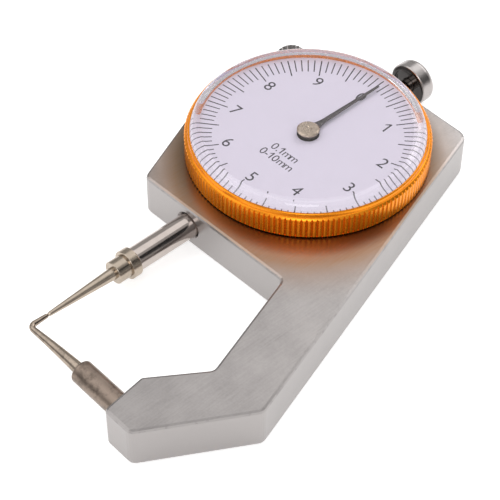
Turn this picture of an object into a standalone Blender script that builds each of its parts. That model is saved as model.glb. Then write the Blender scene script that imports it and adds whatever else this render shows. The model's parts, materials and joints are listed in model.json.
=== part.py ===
"""Pocket dial thickness gauge with a needle point over a bent anvil needle.

+X is to the right on the dial, +Y runs along the spindle to the lift knob and
+Z comes out of the dial. The origin lies on the dial's axis, on the back face.
All lengths are in metres.
"""

import math

import bmesh
import bpy
from mathutils import Matrix, Vector

# Fits and cuts
SEAT_GAP = 0.0001
RUN_GAP = 0.00006
CUT_OVERRUN = 0.0010
MERGE_DISTANCE = 0.0000001

# Facets of round pieces
BIG_STEPS = 48
ROD_STEPS = 18
SMALL_STEPS = 14
CORNER_STEPS = 3

# Frame outline, as distances from the dial's axis and margins round the bezel
BODY_THICKNESS = 0.0080
TOP_MARGIN = 0.0020
FLOOR_MARGIN = 0.0027
FLOOR_DROP = 0.0011
LEFT_MARGIN = 0.0025
LEFT_LOW = 0.0012
LEFT_HIGH = 0.0090
TOP_LEFT = 0.0125
TOP_RIGHT = 0.0159
FLOOR_LEFT = 0.0137
THROAT_CORNER = 0.0189
ARM_LEAN = 0.0065
ARM_WIDTH = 0.0110
KNEE_INNER_RISE = 0.0090
KNEE_OUTER_RISE = 0.0092
FOOT_FACE = 0.0196
FOOT_FACE_LEAN = 0.0005
FOOT_TOP = 0.0530
FOOT_HEIGHT = 0.0081
FOOT_HEEL_WIDTH = 0.0064
OUTER_CORNER = 0.0022
SIDE_CORNER = 0.0015
THROAT_RADIUS = 0.0012
FOOT_CORNER = 0.0008
EDGE_ROUND = 0.0005
EDGE_ROUND_STEPS = 2

# Chamber behind the dial and its rear cover
CHAMBER_WALL = 0.0038
CHAMBER_ROOF = 0.0010
COVER_LEDGE = 0.0028
COVER_THICKNESS = 0.0008
COVER_SCREW_COUNT = 4
COVER_SCREW_TURN = math.radians(45.0)
SCREW_HEAD_RADIUS = 0.0013
SCREW_HEAD_DEPTH = 0.0007
SCREW_SHANK_RADIUS = 0.0007
SCREW_LENGTH = 0.0030
SCREW_SINK = 0.00005
SLOT_WIDTH = 0.0004
SLOT_DEPTH = 0.0003

# Boss that carries the bezel, and the wire ring that holds the bezel on it
BOSS_HEIGHT = 0.0022
RING_WIRE = 0.0005
RING_GROOVE_DEPTH = 0.0003
RING_GROOVE_HEIGHT = 0.0007
RING_GROOVE_WIDTH = 0.0007
RING_OPENING = math.radians(24.0)
RING_POINTS = 36

# Bezel
BEZEL_RADIUS = 0.0210
BEZEL_LIFT = 0.0002
KNURL_HEIGHT = 0.0040
KNURL_TEETH = 150
KNURL_DEPTH = 0.0003
KNURL_CHAMFER = 0.00035
BEZEL_STEP_HEIGHT = 0.00040
BEZEL_LIP_HEIGHT = 0.00035
BEZEL_LIP_WIDTH = 0.00042
BEZEL_FOOT_CHAMFER = 0.00015
BEZEL_WALL = 0.0010
BEZEL_SEAT_WIDTH = 0.0012
DIAL_SEAT_DROP = 0.00245

# Dial and crystal
DIAL_LEDGE = 0.0003
DIAL_THICKNESS = 0.0005
DIAL_HOLE_RADIUS = 0.0019
CRYSTAL_WALL = 0.0007
CRYSTAL_ROOF = 0.00145
CRYSTAL_SEAT_DROP = 0.0018
CRYSTAL_RISE = 0.0015
CRYSTAL_SHOULDER = 0.0017
CRYSTAL_DOME = 0.00015
CRYSTAL_MIDWAY_SHARE = 0.75
CRYSTAL_INNER_ROUND = 0.0016
SHOULDER_STEPS = 4
INNER_ROUND_STEPS = 3

# Travel and gear
TRAVEL = 0.0100
PINION_TEETH = 16
PRESSURE_ANGLE = math.radians(20.0)
TOOTH_BACKLASH = 0.00004
RACK_TIP_SHARE = 0.9
ROOT_DEPTH_SHARE = 1.25
FLANK_POINTS = 3
PINION_WIDTH = 0.0018
ARBOR_RADIUS = 0.00075
PIVOT_RADIUS = 0.0005
PINION_HUB_RADIUS = 0.0011
BEARING_WALL = 0.0006

# Bridge behind the pinion
BRIDGE_THICKNESS = 0.0008
BRIDGE_LIFT = 0.0007
BRIDGE_EAR_RADIUS = 0.0018
BRIDGE_NOSE_WALL = 0.0003
BRIDGE_POST_X = 0.0065
BRIDGE_POST_Y = 0.0042
BRIDGE_POST_RADIUS = 0.0015
BRIDGE_SCREW_RADIUS = 0.0006
BRIDGE_HEAD_RADIUS = 0.0012
BRIDGE_HEAD_HEIGHT = 0.00045
BRIDGE_SCREW_LENGTH = 0.0028

# Spindle, stem and their bushes
RACK_CUT = 0.00074155
SPINDLE_LIFT = 0.0001
SPINDLE_RADIUS = 0.00215
STOP_MARGIN = 0.0026
SHOULDER_REACH = 0.0055
STEM_RADIUS = 0.0013
RACK_MARGIN = 0.0008
SPINDLE_CHAMFER = 0.00015
LOWER_BUSH_WALL = 0.00055
LOWER_BUSH_LENGTH = 0.0075
LOWER_BUSH_INSET = 0.0020
MOUTH_GAP = 0.00015
MOUTH_CHAMFER = 0.0003
BUSH_CHAMFER = 0.00025
UPPER_BUSH_WALL = 0.0010
UPPER_BUSH_LENGTH = 0.0032
GUIDE_PIN_RADIUS = 0.0005
GUIDE_PIN_PLACE = 0.0040
GUIDE_PIN_SEAT = 0.0009
GUIDE_SLOT_DEPTH = 0.0010
GUIDE_SLOT_SPARE = 0.0004

# Return spring round the stem
SPRING_WIRE = 0.0004
SPRING_RADIUS = 0.0019
SPRING_TURNS = 8
SPRING_CURL_POINTS = 9
SPRING_BORE_GAP = 0.0005
SPRING_END_GAP = 0.00015

# Contact point
POINT_COLLAR_RADIUS = 0.00258
POINT_COLLAR_LENGTH = 0.0017
POINT_NECK_RADIUS = 0.00203
POINT_NECK_LENGTH = 0.0025
POINT_ROOT_RADIUS = 0.00108
POINT_TIP_RADIUS = 0.0004
POINT_SHANK_RADIUS = 0.0010
POINT_SHANK_LENGTH = 0.0035
POINT_CHAMFER = 0.00012
TIP_GAP = 0.00004

# Lift knob
KNOB_RADIUS = 0.00405
KNOB_LENGTH = 0.0032
KNOB_CLEARANCE = 0.0050
KNOB_CHAMFER = 0.0004
KNOB_ROUND = 0.0006
KNOB_HOLLOW_RADIUS = 0.0031
KNOB_HOLLOW_DEPTH = 0.0004
KNOB_BORE_DEPTH = 0.0017

# Anvil
ANVIL_POST_RADIUS = 0.0020
ANVIL_POST_INSET = 0.0039
ANVIL_POST_REACH = 0.0102
ANVIL_POST_SEAT = 0.0046
ANVIL_POST_ROUND = 0.0004
ANVIL_SHANK = 0.0040
ANVIL_ROOT_RADIUS = 0.00105
ANVIL_BEND_RADIUS = 0.00052
ANVIL_TIP_RADIUS = 0.00036
ANVIL_RISE = 0.0032
ANVIL_SAG = 0.0003
ANVIL_CURVE = 0.0009
ANVIL_ARM_POINTS = 5
ANVIL_CURVE_POINTS = 6

# Pointer and its hub
POINTER_MARGIN = 0.0028
POINTER_THICKNESS = 0.0002
POINTER_RING_RADIUS = 0.0017
POINTER_NECK_RADIUS = 0.0010
POINTER_ROOT_WIDTH = 0.0019
POINTER_WAIST_WIDTH = 0.00082
POINTER_WAIST_REACH = 0.0052
POINTER_TIP_WIDTH = 0.0004
POINTER_FLARE_POINTS = 5
HUB_RADIUS = 0.00163
HUB_HEIGHT = 0.0013
HUB_LIFT = 0.00015
CAP_RADIUS = 0.00195
CAP_HEIGHT = 0.00036
CAP_CHAMFER = 0.00022
CAP_BORE_DEPTH = 0.0002
CAP_DIMPLE_RADIUS = 0.0005
CAP_DIMPLE_DEPTH = 0.0001

# Lock screw on the upper left chamfer
LOCK_PLACE_SHARE = 0.41
LOCK_HEAD_RADIUS = 0.0030
LOCK_HEAD_LENGTH = 0.0030
LOCK_HEAD_TEETH = 24
LOCK_HEAD_KNURL = 0.0002
LOCK_HEAD_CHAMFER = 0.0003
LOCK_NECK_RADIUS = 0.0019
LOCK_NECK_LENGTH = 0.0022
LOCK_THREAD_RADIUS = 0.0012
LOCK_TIP_RADIUS = 0.0006
LOCK_TIP_LENGTH = 0.0013
LOCK_TIP_GAP = 0.0003

# Worked out from the sizes above
CRYSTAL_RADIUS = BEZEL_RADIUS - BEZEL_WALL
DIAL_RADIUS = CRYSTAL_RADIUS - DIAL_LEDGE
BOSS_RADIUS = DIAL_RADIUS - BEZEL_SEAT_WIDTH
CHAMBER_RADIUS = BOSS_RADIUS - CHAMBER_WALL
COVER_RADIUS = CHAMBER_RADIUS + COVER_LEDGE
CHAMBER_DEPTH = BODY_THICKNESS - CHAMBER_ROOF
POINTER_REACH = DIAL_RADIUS - POINTER_MARGIN
BODY_TOP = BEZEL_RADIUS + TOP_MARGIN
BODY_FLOOR = BEZEL_RADIUS + FLOOR_MARGIN
BODY_LEFT = BEZEL_RADIUS + LEFT_MARGIN
KNEE_INNER_X = THROAT_CORNER + ARM_LEAN
KNEE_OUTER_X = KNEE_INNER_X + ARM_WIDTH
KNEE_INNER_Y = FOOT_TOP - KNEE_INNER_RISE
KNEE_OUTER_Y = FOOT_TOP - KNEE_OUTER_RISE
FOOT_HEEL = FOOT_FACE + FOOT_HEEL_WIDTH
PITCH_RADIUS = TRAVEL / (2.0 * math.pi)
SPINDLE_OFFSET = PITCH_RADIUS + SPINDLE_RADIUS - RACK_CUT
SPINDLE_HEIGHT = BODY_THICKNESS / 2.0 + SPINDLE_LIFT
RACK_PITCH = TRAVEL / PINION_TEETH
MODULE = 2.0 * PITCH_RADIUS / PINION_TEETH
TOOTH_THICKNESS = RACK_PITCH / 2.0 - TOOTH_BACKLASH
DEDENDUM = MODULE * ROOT_DEPTH_SHARE
RACK_ADDENDUM = MODULE * RACK_TIP_SHARE
PINION_TIP = PITCH_RADIUS + MODULE
BOSS_TOP = BODY_THICKNESS + BOSS_HEIGHT
BEZEL_LOW = BODY_THICKNESS + BEZEL_LIFT
KNURL_TOP = BEZEL_LOW + KNURL_HEIGHT
BEZEL_TOP = KNURL_TOP + BEZEL_STEP_HEIGHT + BEZEL_LIP_HEIGHT
BEZEL_BORE = BOSS_RADIUS + RUN_GAP
DIAL_LOW = BEZEL_TOP - DIAL_SEAT_DROP + SEAT_GAP
DIAL_TOP = DIAL_LOW + DIAL_THICKNESS
CRYSTAL_LOW = BEZEL_TOP - CRYSTAL_SEAT_DROP + SEAT_GAP
CRYSTAL_SHOULDER_TOP = BEZEL_TOP + CRYSTAL_RISE
RING_GROOVE_LOW = BODY_THICKNESS + RING_GROOVE_HEIGHT
RING_GROOVE_TOP = RING_GROOVE_LOW + RING_GROOVE_WIDTH
RING_RADIUS = BOSS_RADIUS + RUN_GAP / 2.0
COVER_SCREW_RADIUS = (CHAMBER_RADIUS + COVER_RADIUS) / 2.0
PINION_LOW = SPINDLE_HEIGHT - PINION_WIDTH / 2.0
PINION_TOP = SPINDLE_HEIGHT + PINION_WIDTH / 2.0
BRIDGE_LOW = COVER_THICKNESS + BRIDGE_LIFT
BRIDGE_TOP = BRIDGE_LOW + BRIDGE_THICKNESS
HUB_LOW = BOSS_TOP + HUB_LIFT
HUB_TOP = HUB_LOW + HUB_HEIGHT
POINTER_LOW = HUB_TOP + SEAT_GAP / 2.0
NECK_TOP = POINTER_LOW + POINTER_THICKNESS + SEAT_GAP / 2.0
CAP_LOW = NECK_TOP + SEAT_GAP / 2.0
CAP_TOP = CAP_LOW + CAP_HEIGHT
ARBOR_TOP = CAP_LOW + CAP_BORE_DEPTH - SEAT_GAP
FOOT_LOW = FOOT_TOP + FOOT_HEIGHT
ANVIL_LEVEL = FOOT_LOW - ANVIL_POST_INSET
FLOOR_SPAN_SHARE = (THROAT_CORNER + SPINDLE_OFFSET) / (THROAT_CORNER + FLOOR_LEFT)
MOUTH_FACE = BODY_FLOOR + FLOOR_DROP * FLOOR_SPAN_SHARE
MOUTH_RADIUS = SPINDLE_RADIUS + MOUTH_GAP
SPINDLE_END = -(BODY_FLOOR + TRAVEL + STOP_MARGIN)
COLLAR_END = SPINDLE_END - SEAT_GAP - POINT_COLLAR_LENGTH
NECK_END = COLLAR_END - POINT_NECK_LENGTH
ANVIL_TIP = -ANVIL_LEVEL + ANVIL_RISE
POINT_TIP = ANVIL_TIP + TIP_GAP
UPPER_BUSH_LOW = BODY_TOP - UPPER_BUSH_LENGTH
SPRING_BORE_RADIUS = SPRING_RADIUS + SPRING_WIRE / 2.0 + SPRING_BORE_GAP
UPPER_BUSH_RADIUS = STEM_RADIUS + RUN_GAP + UPPER_BUSH_WALL
LOWER_BUSH_RADIUS = SPINDLE_RADIUS + RUN_GAP + LOWER_BUSH_WALL
KNOB_LOW = BODY_TOP + KNOB_CLEARANCE
STEM_END = KNOB_LOW + KNOB_BORE_DEPTH - SEAT_GAP
ANVIL_POST_END = FOOT_FACE - ANVIL_POST_REACH

# Colours as red, green and blue shares, with roughness and metallic
FINISHES = {
    "ground_zinc": ((0.62, 0.61, 0.60), 0.42, 1.0),
    "polished_steel": ((0.72, 0.71, 0.70), 0.12, 1.0),
    "nickel": ((0.62, 0.56, 0.49), 0.25, 1.0),
    "chrome": ((0.78, 0.76, 0.74), 0.10, 1.0),
    "orange_anodised": ((0.90, 0.36, 0.03), 0.30, 1.0),
    "clear_plastic": ((0.96, 0.95, 0.98), 0.04, 0.0),
    "dial_white": ((0.80, 0.76, 0.84), 0.50, 0.0),
    "dark_steel": ((0.09, 0.09, 0.10), 0.35, 1.0),
    "brass": ((0.72, 0.55, 0.26), 0.30, 1.0),
    "spring_steel": ((0.50, 0.50, 0.52), 0.25, 1.0),
    "sheet_steel": ((0.55, 0.55, 0.56), 0.38, 1.0),
}

TURN_TO_Y = Matrix.Rotation(math.radians(-90.0), 4, "X")
TURN_TO_X = Matrix.Rotation(math.radians(90.0), 4, "Y")


def clear_scene():
    for item in list(bpy.data.objects):
        bpy.data.objects.remove(item, do_unlink=True)


def finish(name, finish_name):
    """Principled material of one piece."""
    colour, roughness, metallic = FINISHES[finish_name]
    made = bpy.data.materials.new(name)
    made.use_nodes = True
    shader = made.node_tree.nodes["Principled BSDF"]
    shader.inputs["Base Color"].default_value = (*colour, 1.0)
    shader.inputs["Roughness"].default_value = roughness
    shader.inputs["Metallic"].default_value = metallic
    return made


def mesh_from(name, bm):
    """Mesh of a finished bmesh, with outward faces and smooth round sides."""
    bmesh.ops.remove_doubles(bm, verts=bm.verts, dist=MERGE_DISTANCE)
    bmesh.ops.recalc_face_normals(bm, faces=bm.faces)
    mesh = bpy.data.meshes.new(name)
    bm.to_mesh(mesh)
    bm.free()
    mesh.shade_smooth()
    mesh.set_sharp_from_angle(angle=math.radians(32.0))
    return mesh


def add_piece(name, data, finish_name, place=(0.0, 0.0, 0.0), turn=None):
    """One named object, placed by its location and turn."""
    piece = bpy.data.objects.new(name, data)
    bpy.context.scene.collection.objects.link(piece)
    turned = turn if turn is not None else Matrix.Identity(4)
    piece.matrix_world = Matrix.Translation(Vector(place)) @ turned
    if not data.materials:
        data.materials.append(finish(name, finish_name))
    return piece


def add_copies(name, data, finish_name, places):
    """Equal pieces at several (x, y) places, numbered from one."""
    numbered = enumerate(places, start=1)
    return [add_piece(f"{name}_{number}", data, finish_name, (x, y, 0.0)) for number, (x, y) in numbered]


def add_tool(name, mesh, place=(0.0, 0.0, 0.0), turn=None):
    """A shape that only cuts or joins, and is no piece itself."""
    tool = bpy.data.objects.new(name, mesh)
    bpy.context.scene.collection.objects.link(tool)
    turned = turn if turn is not None else Matrix.Identity(4)
    tool.matrix_world = Matrix.Translation(Vector(place)) @ turned
    tool.hide_render = True
    tool.display_type = "WIRE"
    return tool


def combine(piece, tool, operation="DIFFERENCE"):
    modifier = piece.modifiers.new(tool.name, "BOOLEAN")
    modifier.solver = "EXACT"
    modifier.operation = operation
    modifier.object = tool


def combine_each(piece, name, mesh, places, operation="DIFFERENCE"):
    """Cut or join the same shape at several (x, y) places."""
    for number, (x, y) in enumerate(places, start=1):
        combine(piece, add_tool(f"{name}_{number}", mesh, (x, y, 0.0)), operation)


def turned(name, profile, steps=ROD_STEPS):
    """Solid turned about Z from a closed loop of (radius, height) points."""
    bm = bmesh.new()
    verts = [bm.verts.new((radius, 0.0, height)) for radius, height in profile]
    pairs = zip(verts, verts[1:] + verts[:1])
    edges = [bm.edges.new((a, b)) for a, b in pairs if a.co.x > 0.0 or b.co.x > 0.0]
    bmesh.ops.spin(bm, geom=verts + edges, cent=(0.0, 0.0, 0.0), axis=(0.0, 0.0, 1.0),
                   angle=2.0 * math.pi, steps=steps, use_merge=True)
    return mesh_from(name, bm)


def rod(radius, low, high):
    """Profile of a plain solid cylinder."""
    return [(0.0, low), (radius, low), (radius, high), (0.0, high)]


def tube(bore, radius, low, high):
    """Profile of a plain hollow cylinder."""
    return [(bore, low), (radius, low), (radius, high), (bore, high)]


def add_prism(bm, outline, low, high):
    """Extrude an outline of (x, y) points between two heights."""
    floor = bm.faces.new([bm.verts.new((x, y, low)) for x, y in outline])
    raised = bmesh.ops.extrude_face_region(bm, geom=[floor], use_keep_orig=True)
    roof = [item for item in raised["geom"] if isinstance(item, bmesh.types.BMVert)]
    bmesh.ops.translate(bm, verts=roof, vec=(0.0, 0.0, high - low))


def prism(name, outline, low, high):
    bm = bmesh.new()
    add_prism(bm, outline, low, high)
    return mesh_from(name, bm)


def arc(centre, radius, start, end, steps):
    """Points of an arc from one angle to another."""
    points = []
    for step in range(steps + 1):
        angle = start + (end - start) * step / steps
        points.append((centre[0] + radius * math.cos(angle), centre[1] + radius * math.sin(angle)))
    return points


def rounded_outline(corners):
    """Outline through (x, y, radius) corners, each rounded by a tangent arc."""
    points = []
    for index, (x, y, radius) in enumerate(corners):
        corner = Vector((x, y))
        back = Vector(corners[index - 1][:2]) - corner
        ahead = Vector(corners[(index + 1) % len(corners)][:2]) - corner
        back.normalize()
        ahead.normalize()
        half = back.angle(ahead) / 2.0
        centre = corner + (back + ahead).normalized() * radius / math.sin(half)
        reach = radius / math.tan(half)
        start = corner + back * reach - centre
        end = corner + ahead * reach - centre
        first = math.atan2(start.y, start.x)
        swing = math.atan2(start.cross(end), start.dot(end))
        points += arc(centre, radius, first, first + swing, CORNER_STEPS)
    return points


def knurled_outline(radius, teeth, depth):
    """Round outline of straight V teeth."""
    points = []
    for corner in range(2 * teeth):
        angle = math.pi * corner / teeth
        reach = radius if corner % 2 == 0 else radius - depth
        points.append((reach * math.cos(angle), reach * math.sin(angle)))
    return points


def belt_outline(circles):
    """Outline of a belt round circles, given anticlockwise as (x, y, radius)."""
    points = []
    count = len(circles)
    normals = []
    for index in range(count):
        x, y, radius = circles[index]
        next_x, next_y, next_radius = circles[(index + 1) % count]
        span = Vector((next_x - x, next_y - y))
        lean = math.acos((radius - next_radius) / span.length)
        normals.append(math.atan2(span.y, span.x) - lean)
    for index in range(count):
        x, y, radius = circles[index]
        start = normals[index - 1]
        end = normals[index]
        while end < start:
            end += 2.0 * math.pi
        points += arc((x, y), radius, start, end, SMALL_STEPS // 2)
    return points


def ring_places(radius, count, first):
    """Places spread evenly round the dial's axis."""
    angles = [first + 2.0 * math.pi * index / count for index in range(count)]
    return [(radius * math.cos(angle), radius * math.sin(angle)) for angle in angles]


def body_corners():
    return [
        (-FLOOR_LEFT, -BODY_FLOOR - FLOOR_DROP, SIDE_CORNER),
        (THROAT_CORNER, -BODY_FLOOR, THROAT_RADIUS),
        (KNEE_INNER_X, -KNEE_INNER_Y, THROAT_RADIUS),
        (FOOT_FACE - FOOT_FACE_LEAN, -FOOT_TOP, FOOT_CORNER),
        (FOOT_FACE + FOOT_FACE_LEAN, -FOOT_LOW, FOOT_CORNER),
        (FOOT_HEEL, -FOOT_LOW, SIDE_CORNER),
        (KNEE_OUTER_X, -KNEE_OUTER_Y, SIDE_CORNER),
        (TOP_RIGHT, BODY_TOP, OUTER_CORNER),
        (-TOP_LEFT, BODY_TOP, OUTER_CORNER),
        (-BODY_LEFT, LEFT_HIGH, OUTER_CORNER),
        (-BODY_LEFT, -LEFT_LOW, OUTER_CORNER),
    ]


def lock_frame():
    """Matrix whose Z runs out along the lock screw, from the chamfer's face."""
    low = Vector((-BODY_LEFT, LEFT_HIGH, SPINDLE_HEIGHT))
    high = Vector((-TOP_LEFT, BODY_TOP, SPINDLE_HEIGHT))
    along = (high - low).normalized()
    outward = Vector((-along.y, along.x, 0.0))
    place = low.lerp(high, LOCK_PLACE_SHARE)
    columns = Matrix((along, outward.cross(along), outward)).transposed()
    return place, columns.to_4x4()


def lock_reach():
    """Way from the chamfer's face in to the spindle's flank."""
    place, turn = lock_frame()
    outward = turn.col[2]
    flank = SPINDLE_OFFSET + SPINDLE_RADIUS
    return (place.x + flank) / outward.x


def body_blank():
    """The frame's plate with its rounded rims."""
    bm = bmesh.new()
    add_prism(bm, rounded_outline(body_corners()), 0.0, BODY_THICKNESS)
    rims = [edge for edge in bm.edges if edge.verts[0].co.z == edge.verts[1].co.z]
    bmesh.ops.bevel(bm, geom=rims, offset=EDGE_ROUND, segments=EDGE_ROUND_STEPS,
                    affect="EDGES", profile=0.5, material=-1)
    return mesh_from("frame_body", bm)


def boss_profile():
    groove = BOSS_RADIUS - RING_GROOVE_DEPTH
    return [
        (0.0, CHAMBER_DEPTH), (BOSS_RADIUS, CHAMBER_DEPTH), (BOSS_RADIUS, RING_GROOVE_LOW),
        (groove, RING_GROOVE_LOW), (groove, RING_GROOVE_TOP), (BOSS_RADIUS, RING_GROOVE_TOP),
        (BOSS_RADIUS, BOSS_TOP), (0.0, BOSS_TOP),
    ]


def chamber_profile():
    cover = COVER_RADIUS + SEAT_GAP
    return [
        (0.0, -CUT_OVERRUN), (cover, -CUT_OVERRUN), (cover, COVER_THICKNESS + SEAT_GAP),
        (CHAMBER_RADIUS, COVER_THICKNESS + SEAT_GAP), (CHAMBER_RADIUS, CHAMBER_DEPTH), (0.0, CHAMBER_DEPTH),
    ]


def bridge_places():
    return [(BRIDGE_POST_X, BRIDGE_POST_Y), (BRIDGE_POST_X, -BRIDGE_POST_Y)]


def cover_places():
    return ring_places(COVER_SCREW_RADIUS, COVER_SCREW_COUNT, COVER_SCREW_TURN)


def guide_slot_outline():
    half = GUIDE_PIN_RADIUS + SEAT_GAP
    low = -GUIDE_PIN_PLACE - GUIDE_SLOT_SPARE
    high = -GUIDE_PIN_PLACE + TRAVEL + GUIDE_SLOT_SPARE
    centre = -SPINDLE_OFFSET
    steps = SMALL_STEPS // 2
    return arc((centre, low), half, math.pi, 2.0 * math.pi, steps) + arc((centre, high), half, 0.0, math.pi, steps)


def make_frame_body():
    body = add_piece("frame_body", body_blank(), "ground_zinc")
    combine(body, add_tool("boss", turned("boss", boss_profile(), BIG_STEPS)), "UNION")
    combine(body, add_tool("chamber_cut", turned("chamber_cut", chamber_profile(), BIG_STEPS)))
    post = rod(BRIDGE_POST_RADIUS, BRIDGE_TOP + SEAT_GAP, CHAMBER_DEPTH + CUT_OVERRUN)
    combine_each(body, "bridge_post", turned("bridge_post", post, SMALL_STEPS), bridge_places(), "UNION")
    tapping = rod(BRIDGE_SCREW_RADIUS + SEAT_GAP, BRIDGE_LOW, BRIDGE_TOP + BRIDGE_SCREW_LENGTH + SEAT_GAP)
    combine_each(body, "post_hole", turned("post_hole", tapping, SMALL_STEPS), bridge_places())
    tapping = rod(SCREW_SHANK_RADIUS + SEAT_GAP, -CUT_OVERRUN, SCREW_LENGTH + SEAT_GAP)
    combine_each(body, "cover_hole", turned("cover_hole", tapping, SMALL_STEPS), cover_places())
    bearing = turned("bearing_hole", rod(front_bearing_radius() + SEAT_GAP, SPINDLE_HEIGHT, BOSS_TOP + CUT_OVERRUN))
    combine(body, add_tool("bearing_hole", bearing))
    slot = prism("guide_slot", guide_slot_outline(), CHAMBER_DEPTH - CUT_OVERRUN, CHAMBER_DEPTH + GUIDE_SLOT_DEPTH)
    combine(body, add_tool("guide_slot", slot))
    cut_spindle_bores(body)
    cut_anvil_hole(body)
    cut_lock_hole(body)


def cut_spindle_bores(body):
    place = (-SPINDLE_OFFSET, 0.0, SPINDLE_HEIGHT)
    seat = -BODY_FLOOR + LOWER_BUSH_INSET - SEAT_GAP
    lower = turned("lower_bore", [
        (0.0, -MOUTH_FACE - CUT_OVERRUN), (MOUTH_RADIUS + MOUTH_CHAMFER + CUT_OVERRUN, -MOUTH_FACE - CUT_OVERRUN),
        (MOUTH_RADIUS, -MOUTH_FACE + MOUTH_CHAMFER), (MOUTH_RADIUS, seat), (LOWER_BUSH_RADIUS + SEAT_GAP, seat),
        (LOWER_BUSH_RADIUS + SEAT_GAP, -CHAMBER_RADIUS / 2.0), (0.0, -CHAMBER_RADIUS / 2.0),
    ])
    combine(body, add_tool("lower_bore", lower, place, TURN_TO_Y))
    upper = turned("upper_bore", [
        (0.0, CHAMBER_RADIUS / 2.0), (SPRING_BORE_RADIUS, CHAMBER_RADIUS / 2.0),
        (SPRING_BORE_RADIUS, UPPER_BUSH_LOW - SEAT_GAP), (UPPER_BUSH_RADIUS + SEAT_GAP, UPPER_BUSH_LOW - SEAT_GAP),
        (UPPER_BUSH_RADIUS + SEAT_GAP, BODY_TOP + CUT_OVERRUN), (0.0, BODY_TOP + CUT_OVERRUN),
    ])
    combine(body, add_tool("upper_bore", upper, place, TURN_TO_Y))


def cut_anvil_hole(body):
    hole = turned("anvil_hole", rod(ANVIL_POST_RADIUS + SEAT_GAP, -CUT_OVERRUN, ANVIL_POST_SEAT + SEAT_GAP))
    combine(body, add_tool("anvil_hole", hole, (FOOT_FACE, -ANVIL_LEVEL, SPINDLE_HEIGHT), TURN_TO_X))


def cut_lock_hole(body):
    place, turn = lock_frame()
    depth = place.to_2d().length - CHAMBER_RADIUS
    hole = turned("lock_hole", rod(LOCK_THREAD_RADIUS + RUN_GAP, -depth - CUT_OVERRUN, CUT_OVERRUN))
    combine(body, add_tool("lock_hole", hole, place, turn))


def countersink(gap, low):
    """Profile of a countersunk screw's head and shank, from behind."""
    head = SCREW_HEAD_RADIUS + gap
    shank = SCREW_SHANK_RADIUS + gap
    return [
        (0.0, low), (head, low), (head, SCREW_SINK),
        (shank, SCREW_SINK + SCREW_HEAD_DEPTH), (shank, SCREW_LENGTH), (0.0, SCREW_LENGTH),
    ]


def make_rear_cover():
    cover = add_piece("rear_cover", turned("rear_cover", rod(COVER_RADIUS, 0.0, COVER_THICKNESS), BIG_STEPS),
                      "sheet_steel")
    hole = turned("countersink", countersink(SEAT_GAP, -CUT_OVERRUN), SMALL_STEPS)
    combine_each(cover, "countersink", hole, cover_places())


def make_cover_screws():
    """Countersunk screws, each with a driver slot across its head."""
    profile = [(0.0, SCREW_SINK)] + countersink(0.0, SCREW_SINK)[2:]
    screws = add_copies("cover_screw", turned("cover_screw", profile, SMALL_STEPS), "polished_steel", cover_places())
    reach = SCREW_HEAD_RADIUS + SEAT_GAP
    half = SLOT_WIDTH / 2.0
    corners = [(-reach, -half), (reach, -half), (reach, half), (-reach, half)]
    slot = prism("driver_slot", corners, -CUT_OVERRUN, SCREW_SINK + SLOT_DEPTH)
    for screw in screws:
        combine(screw, add_tool(f"driver_slot_of_{screw.name}", slot, screw.location))


def make_movement_plate():
    ears = [(x, y, BRIDGE_EAR_RADIUS) for x, y in bridge_places()]
    outline = belt_outline([(0.0, 0.0, rear_bearing_radius() + BRIDGE_NOSE_WALL), ears[1], ears[0]])
    plate = add_piece("movement_plate", prism("movement_plate", outline, BRIDGE_LOW, BRIDGE_TOP), "brass")
    screw_hole = rod(BRIDGE_SCREW_RADIUS + SEAT_GAP, BRIDGE_LOW - CUT_OVERRUN, BRIDGE_TOP + CUT_OVERRUN)
    combine_each(plate, "plate_hole", turned("plate_hole", screw_hole, SMALL_STEPS), bridge_places())
    bush_hole = rod(rear_bearing_radius() + SEAT_GAP, BRIDGE_LOW - CUT_OVERRUN, BRIDGE_TOP + CUT_OVERRUN)
    combine(plate, add_tool("plate_bush_hole", turned("plate_bush_hole", bush_hole)))


def make_bridge_screws():
    face = BRIDGE_LOW - SEAT_GAP
    profile = [
        (0.0, face - BRIDGE_HEAD_HEIGHT), (BRIDGE_HEAD_RADIUS, face - BRIDGE_HEAD_HEIGHT),
        (BRIDGE_HEAD_RADIUS, face), (BRIDGE_SCREW_RADIUS, face),
        (BRIDGE_SCREW_RADIUS, BRIDGE_TOP + BRIDGE_SCREW_LENGTH), (0.0, BRIDGE_TOP + BRIDGE_SCREW_LENGTH),
    ]
    add_copies("bridge_screw", turned("bridge_screw", profile, SMALL_STEPS), "polished_steel", bridge_places())


def front_bearing_radius():
    return ARBOR_RADIUS + RUN_GAP + BEARING_WALL


def rear_bearing_radius():
    return PIVOT_RADIUS + RUN_GAP + BEARING_WALL


def make_bearings():
    front = tube(ARBOR_RADIUS + RUN_GAP, front_bearing_radius(), CHAMBER_DEPTH, BOSS_TOP)
    add_piece("front_bearing", turned("front_bearing", front), "brass")
    rear = tube(PIVOT_RADIUS + RUN_GAP, rear_bearing_radius(), BRIDGE_LOW, BRIDGE_TOP)
    add_piece("rear_bearing", turned("rear_bearing", rear), "brass")


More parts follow.
